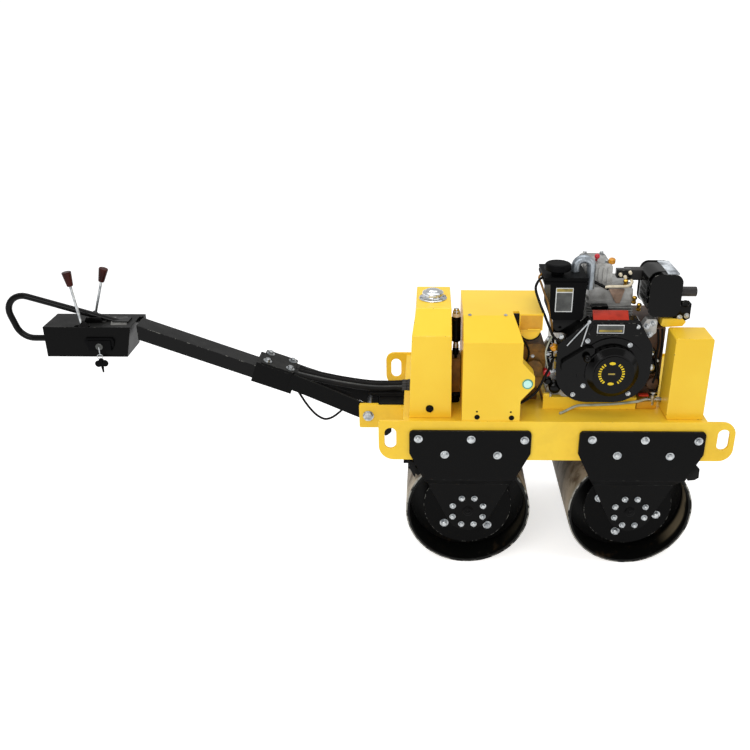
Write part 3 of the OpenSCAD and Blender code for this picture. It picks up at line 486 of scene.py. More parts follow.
class Shape:
    """A mesh put together from turned, swept and flat parts, in millimetres from the machine's middle."""

    def __init__(self):
        self.mesh = bmesh.new()

    def skin(self, rings, metres=False):
        made = [[self.mesh.verts.new(point if metres else at(*point)) for point in ring] for ring in rings]
        for one, two in zip(made, made[1:]):
            for k in range(len(one)):
                j = (k + 1) % len(one)
                self.mesh.faces.new((one[k], one[j], two[j], two[k]))
        self.mesh.faces.new(made[0][::-1])
        self.mesh.faces.new(made[-1])
        return self

    def turned(self, foot, axis, profile, sides=28):
        """A turned part: its profile lists distances along the axis and radii."""
        foot = Vector(foot)
        axis = Vector(axis).normalized()
        across = axis.orthogonal().normalized()
        up = axis.cross(across)
        spokes = [2 * math.pi * k / sides for k in range(sides)]
        return self.skin(
            [
                [foot + axis * along + radius * (math.cos(a) * across + math.sin(a) * up) for a in spokes]
                for along, radius in profile
            ]
        )

    def rod(self, start, end, radius, edge=0.6, sides=16):
        way = Vector(end) - Vector(start)
        far = way.length
        profile = [(0, radius - edge), (edge, radius), (far - edge, radius), (far, radius - edge)]
        return self.turned(start, way, profile, sides)

    def plate(self, outline, axis, low, high):
        """A flat outline pulled along an axis from low to high."""
        place = {
            "Y": lambda a, b, level: (a, level, b),
            "Z": lambda a, b, level: (a, b, level),
        }[axis]
        return self.skin([[place(a, b, level) for a, b in outline] for level in (low, high)])

    def block(self, low, high):
        return self.plate(rectangle(low, high), "Z", low[2], high[2])

    def slab(self, corners, thick):
        """A plate in any position, from its corners and its thickness."""
        points = [Vector(c) for c in corners]
        out = (points[1] - points[0]).cross(points[2] - points[1]).normalized() * thick
        return self.skin([points, [p + out for p in points]])

    def swept(self, route, radius, sides=12, steps=6):
        """A round bar along a smooth line through the points of its route."""
        points = [Vector(p) for p in route]
        return self.skin(rings_along(spline(points, steps) if steps else points, radius, sides))

    def piece(self, name, finish, edge=0.0, angle=38, body="chassis", slot=None):
        """Turns the shape into a piece, its sharp edges rounded by edge millimetres."""
        bmesh.ops.recalc_face_normals(self.mesh, faces=self.mesh.faces)
        round_edges(self.mesh, edge, 30)
        mesh = bpy.data.meshes.new(name)
        self.mesh.to_mesh(mesh)
        self.mesh.free()
        smooth(mesh, angle)
        return add(name, mesh, finish, body)


# ---- Cords ---------------------------------------------------------------------------

DRAIN_ROUTE = [
    (318, -175, 594), (306, -179, 594), (291, -187, 593), (276, -191, 592), (225, -192, 586),
    (160, -192, 581), (120, -193, 580), (92, -195, 580), (74, -200, 578), (58, -207, 574),
    (42, -215, 569), (30, -221, 566), (20, -226, 565),
]
CABLE_ROUTE = [
    (-897, 0, 553), (-886, -1, 542), (-876, -3, 526), (-856, -6, 491), (-833, -8, 459),
    (-812, -9, 439), (-788, -9, 428), (-761, -8, 436), (-732, -4, 458), (-709, 2, 482), (-698, 6, 500),
]


def free_cord(node, route, diameter):
    """A hose or cable along its route, which replaces its CAD node."""
    line = spline([at(*point) for point in route], 6)
    shape = Shape().skin(rings_along(line, diameter / 2, CORD_SIDES, Vector((0, 1, 0))), metres=True)
    piece = shape.piece(node + "_cord", finish_of(node), body=BODY_OF[node], slot=SLOTS[node])
    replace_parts(piece, node)
    sum((b - a).length for a, b in zip(line, line[1:]))


free_cord("drain_hose", DRAIN_ROUTE, 0.009)
free_cord("cable_loop", CABLE_ROUTE, 0.008)

# ---- CAD pieces, with rounded edges and their finishes -------------------------------


def taper_tank(shape):
    """Leans the upper part of the oil tank's back, and its whole front, towards each other."""
    middle = -411
    # Place of the foot, how far the top leans, and the heights that the lean runs between
    back = (-481, 24, 795, 920)
    front = (-340.5, -3.5, 560, 920)
    for vertex in shape.verts:
        foot, lean, low, high = back if (vertex.co.x - MIDDLE) / MM < middle else front
        share = max(0, min(1, (vertex.co.z / MM - low) / (high - low)))
        vertex.co.x = at(foot + lean * share, 0, 0).x


def widen_carrier(shape):
    """Draws a front carrier's forward edge a little further forward."""
    edge = FRONT.x + 150 * MM
    extra = 13 * MM
    for vertex in shape.verts:
        if vertex.co.x > edge:
            vertex.co.x += extra


def trim_tube(shape):
    """Cuts the tube's end off at the face of the control box's tab, which is short of its leaning wall."""
    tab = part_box("control_box")[1].x
    cut = bmesh.ops.bisect_plane(
        shape,
        geom=shape.verts[:] + shape.edges[:] + shape.faces[:],
        plane_co=(tab - 2 * MM, 0, 0),
        plane_no=(-1, 0, 0),
        clear_outer=True,
    )
    bmesh.ops.holes_fill(shape, edges=[e for e in cut["geom_cut"] if isinstance(e, bmesh.types.BMEdge)])


CHANGES = {
    "oil_tank": taper_tank, "handle_tube": trim_tube,
    "carrier_front_right": widen_carrier, "carrier_front_left": widen_carrier,
}


def dress(node, edge):
    """A copy of a CAD node with its sharp edges rounded by edge millimetres, which replaces it."""
    mesh = frame["nodes"][node].data.copy()
    mesh.name = node + "_finished"
    shape = bmesh.new()
    shape.from_mesh(mesh)
    bmesh.ops.remove_doubles(shape, verts=shape.verts, dist=0.00002)
    bmesh.ops.dissolve_limit(shape, angle_limit=math.radians(0.5), verts=shape.verts, edges=shape.edges)
    if node in CHANGES:
        CHANGES[node](shape)
    round_edges(shape, edge, 28)
    shape.to_mesh(mesh)
    shape.free()
    if "custom_normal" in mesh.attributes:
        mesh.attributes.remove(mesh.attributes["custom_normal"])
    smooth(mesh)
    piece = add(node + "_finished", mesh, finish_of(node), BODY_OF[node])
    piece.modifiers.new("flat_faces", "WEIGHTED_NORMAL").keep_sharp = True
    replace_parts(piece, node)


EDGES = {
    "side_plate_right": 1.5, "side_plate_left": 1.5, "deck": 1.5, "cross_members": 1.5,
    "hitch_brackets": 2.0, "oil_tank": 3.0, "belt_cover": 2.5, "water_tank": 2.5, "engine_bed": 2.0,
    "carrier_rear_right": 0.7, "carrier_front_right": 0.7,
    "carrier_rear_left": 0.7, "carrier_front_left": 0.7,
    "engine_block": 2.0, "fan_shroud": 4.0, "recoil_starter": 1.8, "air_filter": 3.0, "air_filter_lid": 0.8,
    "intake_cap": 0.8, "muffler": 2.0, "muffler_guard": 0.6, "control_box": 2.0, "handle_fork": 2.0,
    "handle_tube": 3.0, "joint_plate": 1.5, "rocker_cover": 1.2, "cylinder_fins": 0.6, "rest_buffer": 3.0,
    "scraper_bars": 1.0, "hub_housings": 2.0, "rear_buffer_discs": 2.5, "front_buffer_discs": 2.5,
    "rear_drum": 1.5, "front_drum": 1.5, "hydraulic_pump": 3.0, "exhaust_manifold": 4.0,
    "switch_pocket": 2.0, "drain_cock": 1.0, "tailpipe": 0.6, "hose_sleeve": 1.0,
    "lever_knobs": 3.0, "lever_rods": 0.5, "hitch_bolt": 1.0, "decompression_lever": 0.5,
    "rear_buffers": 1.0, "front_buffers": 1.0, "intake_elbow": 0.0, "handle_loop": 0.0,
}
for node, edge in EDGES.items():
    dress(node, edge)

# ---- Repeated parts, by Geometry Nodes -----------------------------------------------


class Growth(Tree):
    """A Geometry Nodes tree with named inputs, which ends in plain geometry with its finish."""

    def __init__(self, name, numbers):
        tree = bpy.data.node_groups.new(name, "GeometryNodeTree")
        tree.interface.new_socket("Geometry", in_out="INPUT", socket_type="NodeSocketGeometry")
        for label in numbers:
            tree.interface.new_socket(label, in_out="INPUT", socket_type="NodeSocketFloat")
        tree.interface.new_socket("Finish", in_out="INPUT", socket_type="NodeSocketMaterial")
        tree.interface.new_socket("Geometry", in_out="OUTPUT", socket_type="NodeSocketGeometry")
        super().__init__(tree)
        source = tree.nodes.new("NodeGroupInput")
        self.inputs = {socket.name: Value(self, socket) for socket in source.outputs if socket.name}

    def __getitem__(self, name):
        return self.inputs[name]

    def finished(self, geometry):
        real = self.node("GeometryNodeRealizeInstances", {}, {"Geometry": geometry})
        real = self.node("GeometryNodeSetMaterial", {}, {"Geometry": real, "Material": self["Finish"]})
        self.tree.links.new(real.socket, self.tree.nodes.new("NodeGroupOutput").inputs[0])
        return self

    def on_points(self, part, spin):
        """Sets the part on each point, its Z axis along the point's facing, turned by spin about it."""
        kind = "GeometryNodeInputNamedAttribute"
        facing = self.node(kind, {"data_type": "FLOAT_VECTOR"}, {"Name": "facing"})
        along = self.node(kind, {"data_type": "FLOAT_VECTOR"}, {"Name": "along"})
        kind = "FunctionNodeAlignRotationToVector"
        turn = self.node(kind, {"axis": "Z"}, {"Vector": facing})
        turn = self.node(kind, {"axis": "X", "pivot_axis": "Z"}, {"Rotation": turn, "Vector": along})
        limits = {2: 0.0, 3: spin, "Seed": 7}
        twist = self.node("FunctionNodeRandomValue", {"data_type": "FLOAT"}, limits, output=1)
        twist = self.node("FunctionNodeAxisAngleToRotation", {}, {"Axis": (0, 0, 1), "Angle": twist})
        inputs = {"Rotation": turn, "Rotate By": twist}
        turn = self.node("FunctionNodeRotateRotation", {"rotation_space": "LOCAL"}, inputs)
        inputs = {"Points": self["Geometry"], "Instance": part, "Rotation": turn}
        return self.node("GeometryNodeInstanceOnPoints", {}, inputs)

    def raised(self, part, height):
        place = self.node("ShaderNodeCombineXYZ", {}, {"Z": height})
        return self.node("GeometryNodeTransform", {}, {"Geometry": part, "Translation": place})


def bolt_tree():
    """Hexagon heads with a chamfered crown, each on a round washer."""
    g = Growth("hexagon_bolts", ("Head", "Height", "Washer"))
    rim = g["Washer"] * 0.12
    washer = g.node("GeometryNodeMeshCylinder", {}, {"Vertices": 24, "Radius": g["Washer"], "Depth": rim})
    washer = g.raised(washer, rim * 0.5)
    head = g.node("GeometryNodeMeshCylinder", {}, {"Vertices": 6, "Radius": g["Head"], "Depth": g["Height"]})
    head = g.raised(head, g["Height"] * 0.5 + rim)
    inputs = {"Radius Bottom": g["Head"] * 0.86, "Radius Top": g["Head"] * 0.66, "Depth": g["Height"] * 0.2}
    crown = g.node("GeometryNodeMeshCone", {}, {"Vertices": 18, **inputs})
    crown = g.raised(crown, g["Height"] + rim)
    whole = g.node("GeometryNodeJoinGeometry", {}, {"Geometry": [washer, head, crown]})
    return g.finished(g.on_points(whole, math.pi / 3))


def bar_tree():
    """Small square-cut bars that lie on their points."""
    g = Growth("small_bars", ("Length", "Width", "Height"))
    size = g.node("ShaderNodeCombineXYZ", {}, {"X": g["Length"], "Y": g["Width"], "Z": g["Height"]})
    bar = g.raised(g.node("GeometryNodeMeshCube", {}, {"Size": size}), g["Height"] * 0.5)
    return g.finished(g.on_points(bar, 0.0))


def hose_tree():
    """A ribbed hose along a line: its radius shrinks at every second point."""
    g = Growth("ribbed_hose", ("Radius", "Pitch", "Depth"))
    line = g.node("GeometryNodeMeshToCurve", {}, {"Mesh": g["Geometry"]})
    inputs = {"Curve": line, "Length": g["Pitch"] * 0.5}
    line = g.node("GeometryNodeResampleCurve", {"mode": "LENGTH"}, inputs)
    odd = g.node("ShaderNodeMath", {"operation": "MODULO"}, {0: g.node("GeometryNodeInputIndex"), 1: 2.0})
    size = g["Radius"] - odd * g["Depth"]
    ring = g.node("GeometryNodeCurvePrimitiveCircle", {}, {"Resolution": 16, "Radius": 1.0})
    inputs = {"Curve": line, "Profile Curve": ring, "Scale": size, "Fill Caps": True}
    return g.finished(g.node("GeometryNodeCurveToMesh", {}, inputs))


def bead_tree():
    """A weld bead: overlapping flattened drops along a line."""
    g = Growth("weld_bead", ("Radius", "Pitch"))
    line = g.node("GeometryNodeMeshToCurve", {}, {"Mesh": g["Geometry"]})
    spread = "GeometryNodeCurveToPoints", {"mode": "LENGTH"}, {"Curve": line, "Length": g["Pitch"]}
    points = g.node(*spread)
    turn = g.node(*spread, output=3)
    drop = g.node("GeometryNodeMeshUVSphere", {}, {"Segments": 8, "Rings": 6, "Radius": g["Radius"]})
    limits = {0: (0.85, 0.85, 0.9), 1: (1.1, 1.1, 1.25), "Seed": 3}
    size = g.node("FunctionNodeRandomValue", {"data_type": "FLOAT_VECTOR"}, limits)
    inputs = {"Points": points, "Instance": drop, "Rotation": turn, "Scale": size}
    return g.finished(g.node("GeometryNodeInstanceOnPoints", {}, inputs))


BOLTS = bolt_tree()
BARS = bar_tree()
RIBBED = hose_tree()
BEADS = bead_tree()


def grown(
    name, growth, places, sizes, finish, facing=UP, along=FORWARD, path=False, angle=35, body="chassis"
):
    """Runs a Geometry Nodes tree on points or along a path, and keeps the result as a plain mesh."""
    mesh = bpy.data.meshes.new(name)
    links = [(i, i + 1) for i in range(len(places) - 1)] if path else []
    mesh.from_pydata([at(*point) for point in places], links, [])
    for label, value in (("facing", facing), ("along", along)):
        field = mesh.attributes.new(label, "FLOAT_VECTOR", "POINT")
        many = value if isinstance(value, list) else [value] * len(places)
        for i, vector in enumerate(many):
            field.data[i].vector = vector
    source = bpy.data.objects.new(name + "_points", mesh)
    bpy.context.scene.collection.objects.link(source)
    modifier = source.modifiers.new(growth.tree.name, "NODES")
    modifier.node_group = growth.tree
    for item in growth.tree.interface.items_tree:
        if item.in_out == "INPUT" and item.name in sizes:
            modifier[item.identifier] = sizes[item.name] * MM
        if item.in_out == "INPUT" and item.name == "Finish":
            modifier[item.identifier] = finish
    evaluated = source.evaluated_get(bpy.context.evaluated_depsgraph_get())
    made = bpy.data.meshes.new_from_object(evaluated)
    bpy.data.objects.remove(source)
    smooth(made, angle)
    return add(name, made, finish, body)


def bolts(name, places, head, facing=NEAR, finish=ZINC, height=None, washer=None, body="chassis"):
    sizes = {"Head": head, "Height": height or head * 0.7, "Washer": washer or head * 1.45}
    grown(name, BOLTS, places, sizes, finish, facing, body=body)


def bar(length, width, height):
    return {"Length": length, "Width": width, "Height": height}


# ---- Bolts and small hardware of the frame -------------------------------------------

SIDES = (("right", -1), ("left", 1))
CARRIER_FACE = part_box("carrier_rear_left")[1].y / MM
HUB_FACE = CARRIER_FACE - 25
DISC_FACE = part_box("rear_buffer_discs")[1].y / MM
AXLE_Z = REAR.z / MM
REAR_X = (REAR.x - MIDDLE) / MM
FRONT_X = (FRONT.x - MIDDLE) / MM
UPPER_BOLTS = ((-170, 507), (3, 506), (178, 504), (-83, 449), (91, 447))
RECESS_LIFT = 7.4

for side, way in SIDES:
    out = (0, way, 0)
    for end, axle, shift in (("rear", REAR_X, 0), ("front", FRONT_X, 12)):
        places = [(axle + x + shift, way * CARRIER_FACE, z) for x, z in UPPER_BOLTS]
        bolts(f"carrier_bolts_{end}_{side}", places, 9.5, out, height=5.5, washer=14)
        # Dark crossed bars on each head: painted shade of the bolts' cross recesses
        places = [(x, y + way * RECESS_LIFT, z) for x, y, z in places]
        for turn, along in (("level", FORWARD), ("upright", UP)):
            name = f"bolt_recess_{turn}_{end}_{side}"
            grown(name, BARS, places, bar(11.0, 3.0, 0.7), RECESS_SHADE, out, along)
        hub = (axle, way * HUB_FACE, AXLE_Z)
        places = circle(hub, 56, [22.5 + 45 * k for k in range(8)])
        bolts(f"hub_bolts_{end}_{side}", places, 8, out, height=7, washer=10.5)
        profile = [(-1, 17), (3, 17), (4.5, 15), (4.5, 8), (7, 6.5), (9, 3.5)]
        Shape().turned(hub, out, profile).piece(f"hub_centre_{end}_{side}", BLACK)

for end, axle, first in (("rear", REAR_X, 42), ("front", FRONT_X, 72)):
    for side, way in SIDES:
        places = circle((axle, way * DISC_FACE, AXLE_Z), 107, range(first, first + 360, 90))
        name = f"buffer_bolts_{end}_{side}"
        bolts(name, places, 11, (0, way, 0), height=9, washer=15, body=end + "_roller")

bolts("hitch_washers", [(-626, -92, 484)], 9, washer=19, height=3)
for side, way in SIDES:
    for name, y in (("outer", 91.5), ("inner", 75.5)):
        line = [(-502, way * y, z) for z in (442, 480, 521)]
        grown(f"hitch_weld_{name}_{side}", BEADS, line, {"Radius": 3.2, "Pitch": 4.0}, YELLOW, path=True)
bolts("oil_drain_plug", [(-412, -255, 594)], 11, finish=BLACK, height=7, washer=13)
bolts("cover_screws", [(-258, -289, 581), (-146, -289, 579)], 6, finish=BLACK, height=4)
bolts("cover_top_screws", [(-287, -226, 910), (-174, -226, 910)], 4.5, UP, height=2.5)
pins = Shape()
for x, z in ((-259, 601), (-149, 600)):
    pins.rod((x, -288, z), (x, -290.2, z), 3, 0.3)
pins.piece("cover_pins", BLACK)

# Filler cap of the oil tank: a ring held by six screws, a neck and a ribbed chrome cap
CAP_LOW, CAP_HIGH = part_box("oil_cap")
CAP_X = ((CAP_LOW.x + CAP_HIGH.x) / 2 - MIDDLE) / MM
CAP_Y = (CAP_LOW.y + CAP_HIGH.y) / 2 / MM
TANK_TOP = CAP_LOW.z / MM
profile = [
    (0, 44), (1.5, 46), (3, 46), (4.5, 44.5), (4.5, 34), (6, 33), (7, 31), (10, 29.5), (13, 30), (14, 33),
    (15, 34.5), (21, 34.5), (23, 33.5), (25, 29), (26, 24), (27, 23.5), (30, 21), (31.6, 12), (32, 4),
]
cap = Shape().turned((CAP_X, CAP_Y, TANK_TOP), UP, profile, 48).piece("filler_cap", CHROME, angle=50)
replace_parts(cap, "oil_cap")
places = circle((CAP_X, CAP_Y, TANK_TOP + 4.5), 39.5, range(15, 375, 60), "Z")
bolts("filler_cap_screws", places, 4, UP, height=2.5, washer=5)
turns = range(0, 360, 12)
places = circle((CAP_X, CAP_Y, TANK_TOP + 15.6), 34, turns, "Z")
grown("filler_cap_ribs", BARS, places, bar(2.0, 3.0, 5.2), CHROME, along=circle((0, 0, 0), 1, turns, "Z"))

# Suction filter in the gap between the tank and the belt cover
GAP_X, GAP_Y = -326, -125
profile = [
    (0, 15), (2, 16), (28, 16), (32, 12), (36, 6.5), (149, 6.5), (150, 5), (172, 5), (174, 9), (177, 11),
    (195, 11), (199, 9), (200, 6), (221, 6), (222, 13), (225, 15.5), (262, 15.5), (263.5, 14.6),
    (265, 15.5), (304, 15.5), (308, 13.5),
]
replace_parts(Shape().turned((GAP_X, GAP_Y, 560), UP, profile).piece("suction_filter", BLACK), "oil_filter")
for name, z, finish, slot, profile in (
    ("collar", 759, ZINC, "zinc", [(0, 9), (1, 10), (9, 10), (11, 8.5), (21.5, 8.5)]),
    ("ring", 867.5, CREAM, "black_plastic", [(0, 12), (1, 13.5), (9, 13.5), (12, 12.5), (12.6, 11)]),
    ("dome", 879, CHROME, "zinc", [(0, 11), (2, 12), (8, 12), (9, 9), (14, 9), (17, 7.5), (18, 4)]),
):
    Shape().turned((GAP_X, GAP_Y, z), UP, profile).piece("suction_filter_" + name, finish, slot=slot)
Shape().rod((-347, -120, 585), (-307, -120, 585), 13, 1).piece("gap_hose", RUBBER)

# Edge strip of the duct behind the cover, and a black plate that is painted shade in the gap beside the duct
arc = circle((-91, -206.5, 852), 34, range(188, 353, 12))
Shape().swept(arc, 2.4, 8, 2).piece("duct_edge_strip", RUBBER)
gap_shade_outline = [(-150, 909), (-129.5, 909), (-129.5, 850), (-141, 850)]
Shape().plate(gap_shade_outline, "Y", -213, -205).piece("duct_gap_shade", RUBBER)

# Rubber ends of the scraper bars, and a strap end behind the rear lifting slot
for end, outline in (
    ("front", [(462, 334), (446, 372), (452, 390), (488, 392), (499, 380), (500, 346), (486, 336)]),
    ("rear", [(-484, 412), (-457, 398), (-458, 336), (-468, 352), (-478, 374)]),
):
    for side, way in SIDES:
        rubber = Shape().plate(rounded(outline, 2), "Y", way * 262, way * 271.5)
        rubber.piece(f"scraper_end_{end}_{side}", RUBBER, 1)
strap = [(-563, 540), (-534, 540), (-534, 520), (-546, 508), (-558, 502), (-563, 510)]
Shape().plate(rounded(strap, 4), "Y", -282.5, -276).piece("strap_end", RUBBER, 1.5)

# Dark seams where the tanks and the bed stand on the deck
for name, low, high in (
    ("oil_tank", (-481.6, -255.6), (-340, 28.6)),
    ("water_tank", (363.9, -259.6), (487.1, -152.4)),
    ("engine_bed", (-32.6, -184.6), (281.6, 190.6)),
):
    Shape().plate(round_rect(low, high, 6), "Z", 560.2, 563.4).piece(name + "_seam", MUSTARD)

# ---- Small parts that repeat a form --------------------------------------------------

DUCT_Y = -217

# Flat pieces that face the near side: two corners, their radius, back and face, finish and rounding
for name, low, high, radius, back, face, finish, edge in (
    ("duct_lip", (-108, 851), (-54, 868.5), 8, DUCT_Y, DUCT_Y - 5, YELLOW, 1.2),
    # A thin plate on the duct's face in the darker yellow: painted shade of the recessed duct
    ("duct_face_shade", (-127, 856), (-55, 908), 3, DUCT_Y, DUCT_Y - 1.5, SHADED_YELLOW, 0.4),
    ("shroud_plate_frame", (116, 849), (206, 882), 3, -226, -228.4, PALE, 0.4),
    ("shroud_plate_panel", (120, 853), (202, 878), 1.5, -228, -229.2, SLATE, 0),
    ("shroud_plate_band", (124, 856), (198, 864), 1.5, -229, -229.8, DULL_GOLD, 0),
    ("filter_plate_frame", (-19, 908), (42, 994), 4, -194, -196.4, PALE, 0.4),
    ("filter_plate_panel", (-14, 913), (37, 976), 2, -196, -197.2, SLATE, 0),
    ("filter_plate_band", (-14, 978), (37, 989), 1.5, -196, -197.2, DULL_GOLD, 0),
    ("dark_cap", (106, 892), (173, 918), 8, -106, -140, ENGINE_BLACK, 3),
    ("valve_chest", (188, 984), (250, 1024), 8, -92, -60, ENGINE_BLACK, 3),
    ("control_bracket", (-34, 700), (-4, 826), 5, -186, -181, ENGINE_BLACK, 0.8),
    ("drain_tag", (286, 606), (322, 617), 3, -168, -184, WARM_RED, 1),
):
    Shape().plate(round_rect(low, high, radius), "Y", back, face).piece(name, finish, edge)

for name, low, high, finish, edge in (
    # A mustard block that is painted shade: the tank's yellow sides in shadow, seen through the gap
    ("gap_shade_block", (-340, -140, 600), (-309, -60, 722), MUSTARD, 2),
    ("red_strip_rest", (100, -205, 888), (221, -197, 906), ENGINE_BLACK, 1),
    ("filter_bracket", (-18, -187, 836), (70, -179, 884), ENGINE_BLACK, 1),
    ("bed_stop", (-33, -190, 604), (-12, -176, 620), YELLOW, 1.5),
    # A block in the darker yellow: painted shade at the bed's end beside the water tank
    ("bed_end_shade", (284, -183, 562), (350, -100, 588), SHADED_YELLOW, 1.5),
):
    Shape().block(low, high).piece(name, finish, edge)

# Turned pieces that face the near side: the sight glass, and the fuel and speed controls by the shroud
for name, foot, finish, profile in (
    ("sight_glass_ring", (-100, -288, 700), TEAL,
     [(0, 17), (1.5, 17.5), (3, 16.8), (3.4, 14.5), (2.2, 13.5)]),
    ("sight_glass_lens", (-100, -288, 700), SIGHT, [(0, 13.6), (2.4, 13.4), (3.6, 10.5), (4.2, 5)]),
    ("fuel_banjo", (-10, -186, 788), AMBER, [(0, 12), (6, 12), (8, 10), (16, 10), (18, 6), (22, 5)]),
    ("stop_knob", (-28, -178, 700), RED, [(0, 10), (14, 10), (16, 12), (24, 12), (27, 8)]),
    ("oil_strainer", (2, -176, 645), ENGINE_BLACK,
     [(0, 20), (20, 20), (22, 18), (28, 18), (31, 14), (33, 6)]),
    ("fuel_lift_pump", (-22, -176, 668), ENGINE_BLACK, [(0, 13), (16, 13), (18, 9), (24, 8)]),
):
    Shape().turned(foot, NEAR, profile).piece(name, finish)

# Cables and pipes of the engine
for name, radius, finish, slot, route in (
    ("throttle_cable", 4.2, RUBBER, "rubber", [
        (-48, -150, 1013), (-66, -168, 1010), (-80, -190, 988), (-66, -200, 944), (-48, -202, 903),
        (-32, -203, 865), (-16, -205, 832), (0, -212, 818), (8, -222, 812)]),
    ("fuel_pipe", 3.6, MUSTARD, "hose_clear", [
        (-50, -120, 1016), (-66, -150, 1012), (-62, -180, 1000), (-50, -190, 968), (-38, -192, 940),
        (-31, -192, 905), (-22, -190, 870), (-18, -186, 835)]),
    ("pump_cable", 4.5, RUBBER, "rubber", [
        (-6, -186, 752), (-22, -210, 722), (-38, -230, 700), (-52, -238, 672), (-65, -240, 649),
        (-84, -240, 630), (-104, -238, 614), (-119.5, -236, 604)]),
    ("sensor_lead", 3.4, RUBBER, "rubber", [
        (-121, -176, 812), (-104, -179, 800), (-92, -181, 780), (-88, -180, 758), (-92, -178, 738),
        (-100, -172, 722)]),
    ("return_pipe", 2.6, HOSE, "hose_clear", [
        (-16, -192, 830), (-30, -198, 800), (-36, -198, 770), (-30, -194, 735), (-22, -190, 705)]),
    ("breather_hose_near", 3.4, RUBBER, "rubber", [
        (330, -162.5, 840), (336, -166, 795), (331, -177, 757), (330, -180, 735), (336, -179.6, 712),
        (338, -178, 688), (330, -176.8, 655)]),
    ("breather_hose_far", 3.4, RUBBER, "rubber", [
        (344, -162.5, 843), (349, -162.5, 780), (345, -162.5, 705), (353, -162.5, 655), (349, -162.5, 606)]),
):
    Shape().swept(route, radius, 10).piece(name, finish, slot=slot)

# ---- Engine's small parts ------------------------------------------------------------

SHROUD_FACE = -225
FLANGE_FACE = SHROUD_FACE - 5
CAP_FACE = -264

places = [(x, SHROUD_FACE, z) for x, z in ((6, 838), (247, 872), (92, 824), (58, 634))]
bolts("shroud_bolts", places, 5.5, washer=8, height=4)
bolts("starter_bolts", circle((176, FLANGE_FACE, 723), 103, (60, 212, 307)), 5.5, washer=8, height=4)
strip = Shape().slab([(104, -222, 893), (217, -222, 893), (217, -196, 917), (104, -196, 917)], 2.5)
strip.piece("red_strip", WARM_RED, 0.5)

# Stay rods on the shroud's near face, and the stop that they meet at
stays = Shape()
for low in ((26, 808), (72, 806)):
    stays.rod((91, -228, 890), (low[0], -228, low[1]), 2.6, 0.4, 10)
stays.rod((91, -224, 890), (91, -231, 890), 6, 0.6)
stays.piece("stay_rods", ZINC)

# Yellow tick marks, two ovals and a dull mark on the starter's cap
turns = [*range(-52, 53, 13), *range(128, 233, 13)]
places = circle((170, CAP_FACE, 726), 38, turns)
grown("starter_ticks", BARS, places, bar(9.0, 4.6, 0.9), TICK_YELLOW, NEAR, circle((0, 0, 0), 1, turns))
for name, z in (("top", 762), ("bottom", 691)):
    oval = [(170 + 10 * math.cos(a), z + 5 * math.sin(a)) for a in map(math.radians, range(0, 360, 15))]
    Shape().plate(oval, "Y", CAP_FACE + 0.5, CAP_FACE - 0.9).piece("starter_oval_" + name, TICK_YELLOW)
mark = Shape().plate(round_rect((158, 722), (182, 729), 2), "Y", CAP_FACE + 0.5, CAP_FACE - 0.9)
mark.piece("starter_mark", DULL_GOLD, slot="yellow_paint")

# Cylinder head: nuts, injector and its pipe, the cast rib, the amber cap and the valve chest's fittings
bolts("head_nuts", [(120, -98, 966), (236, -98, 966), (236, 26, 966)], 8, UP, washer=11, height=9)
bolts("rocker_nuts", [(x, y, 1040) for y in (-80, 16) for x in (104, 160)], 7, UP, height=7)
pipe = [
    (150, -118, 968), (170, -124, 973), (200, -126, 974), (228, -124, 975), (240, -118, 985),
    (240, -104, 988),
]
Shape().swept(pipe, 4.5, 12).piece("injector_pipe", CREAM)
fittings = Shape()
for place in ((222, -100, 966), (252, -118, 915), (268, -124, 893)):
    fittings.turned(place, (0, -0.3, 1), [(0, 8), (6, 8), (7, 5.5), (16, 5.5), (17, 8), (24, 8), (26, 5)], 6)
fittings.piece("injector_fittings", BRASS)
rib = Shape().plate([(166, 962), (219, 962), (206, 914), (193, 914)], "Y", -110, -122)
rib.piece("cast_rib", BROWN_CAST, 2)
amber = Shape().turned((176, -82, 1038), (0, -0.15, 1), [(0, 9), (2, 11), (14, 11), (17, 8.5), (18, 4)])
amber.piece("amber_cap", AMBER)
Shape().swept([(92, -126, 1001), (128, -124, 983), (165, -116, 962)], 5, 12).piece("dark_stay", ENGINE_BLACK)
chest = Shape()
for x, z in ((205, 1004), (221, 996), (236, 1011)):
    chest.turned((x, -90, z), NEAR, [(0, 6), (8, 6), (10, 4.5), (14, 4.5)], 12)
chest.piece("chest_fittings", CREAM)

# Pump's bands, and bolts and spring of the speed control on the crankcase's corner beside the shroud
places = [(x, -170, z) for x, z in ((-74, 747), (-77, 704), (-64, 704), (-90, 704))]
bolts("pump_bolts", places, 4.5, washer=6)
pump = Shape()
for z in (668, 730, 760):
    pump.plate(round_rect((-107, z), (-30, z + 6), 2), "Y", -172, -38)
pump.piece("pump_bands", MUSTARD, 1)
places = [(x, -186, z) for x, z in ((-26, 814), (-12, 790), (-26, 764), (-12, 740))]
bolts("control_bolts", places, 5.5, washer=8, height=4)
turns = [0.55 * k for k in range(44)]
coil = [(-20 + 5.5 * math.cos(a), -194 + 5.5 * math.sin(a), 742 + 3.1 * a) for a in turns]
Shape().swept(coil, 1.3, 6, 0).piece("governor_spring", ZINC)
bolts("crankcase_bolts", [(-8, -181, 700), (-6, -181, 640), (-12, -181, 610)], 5, washer=7.5, height=4)

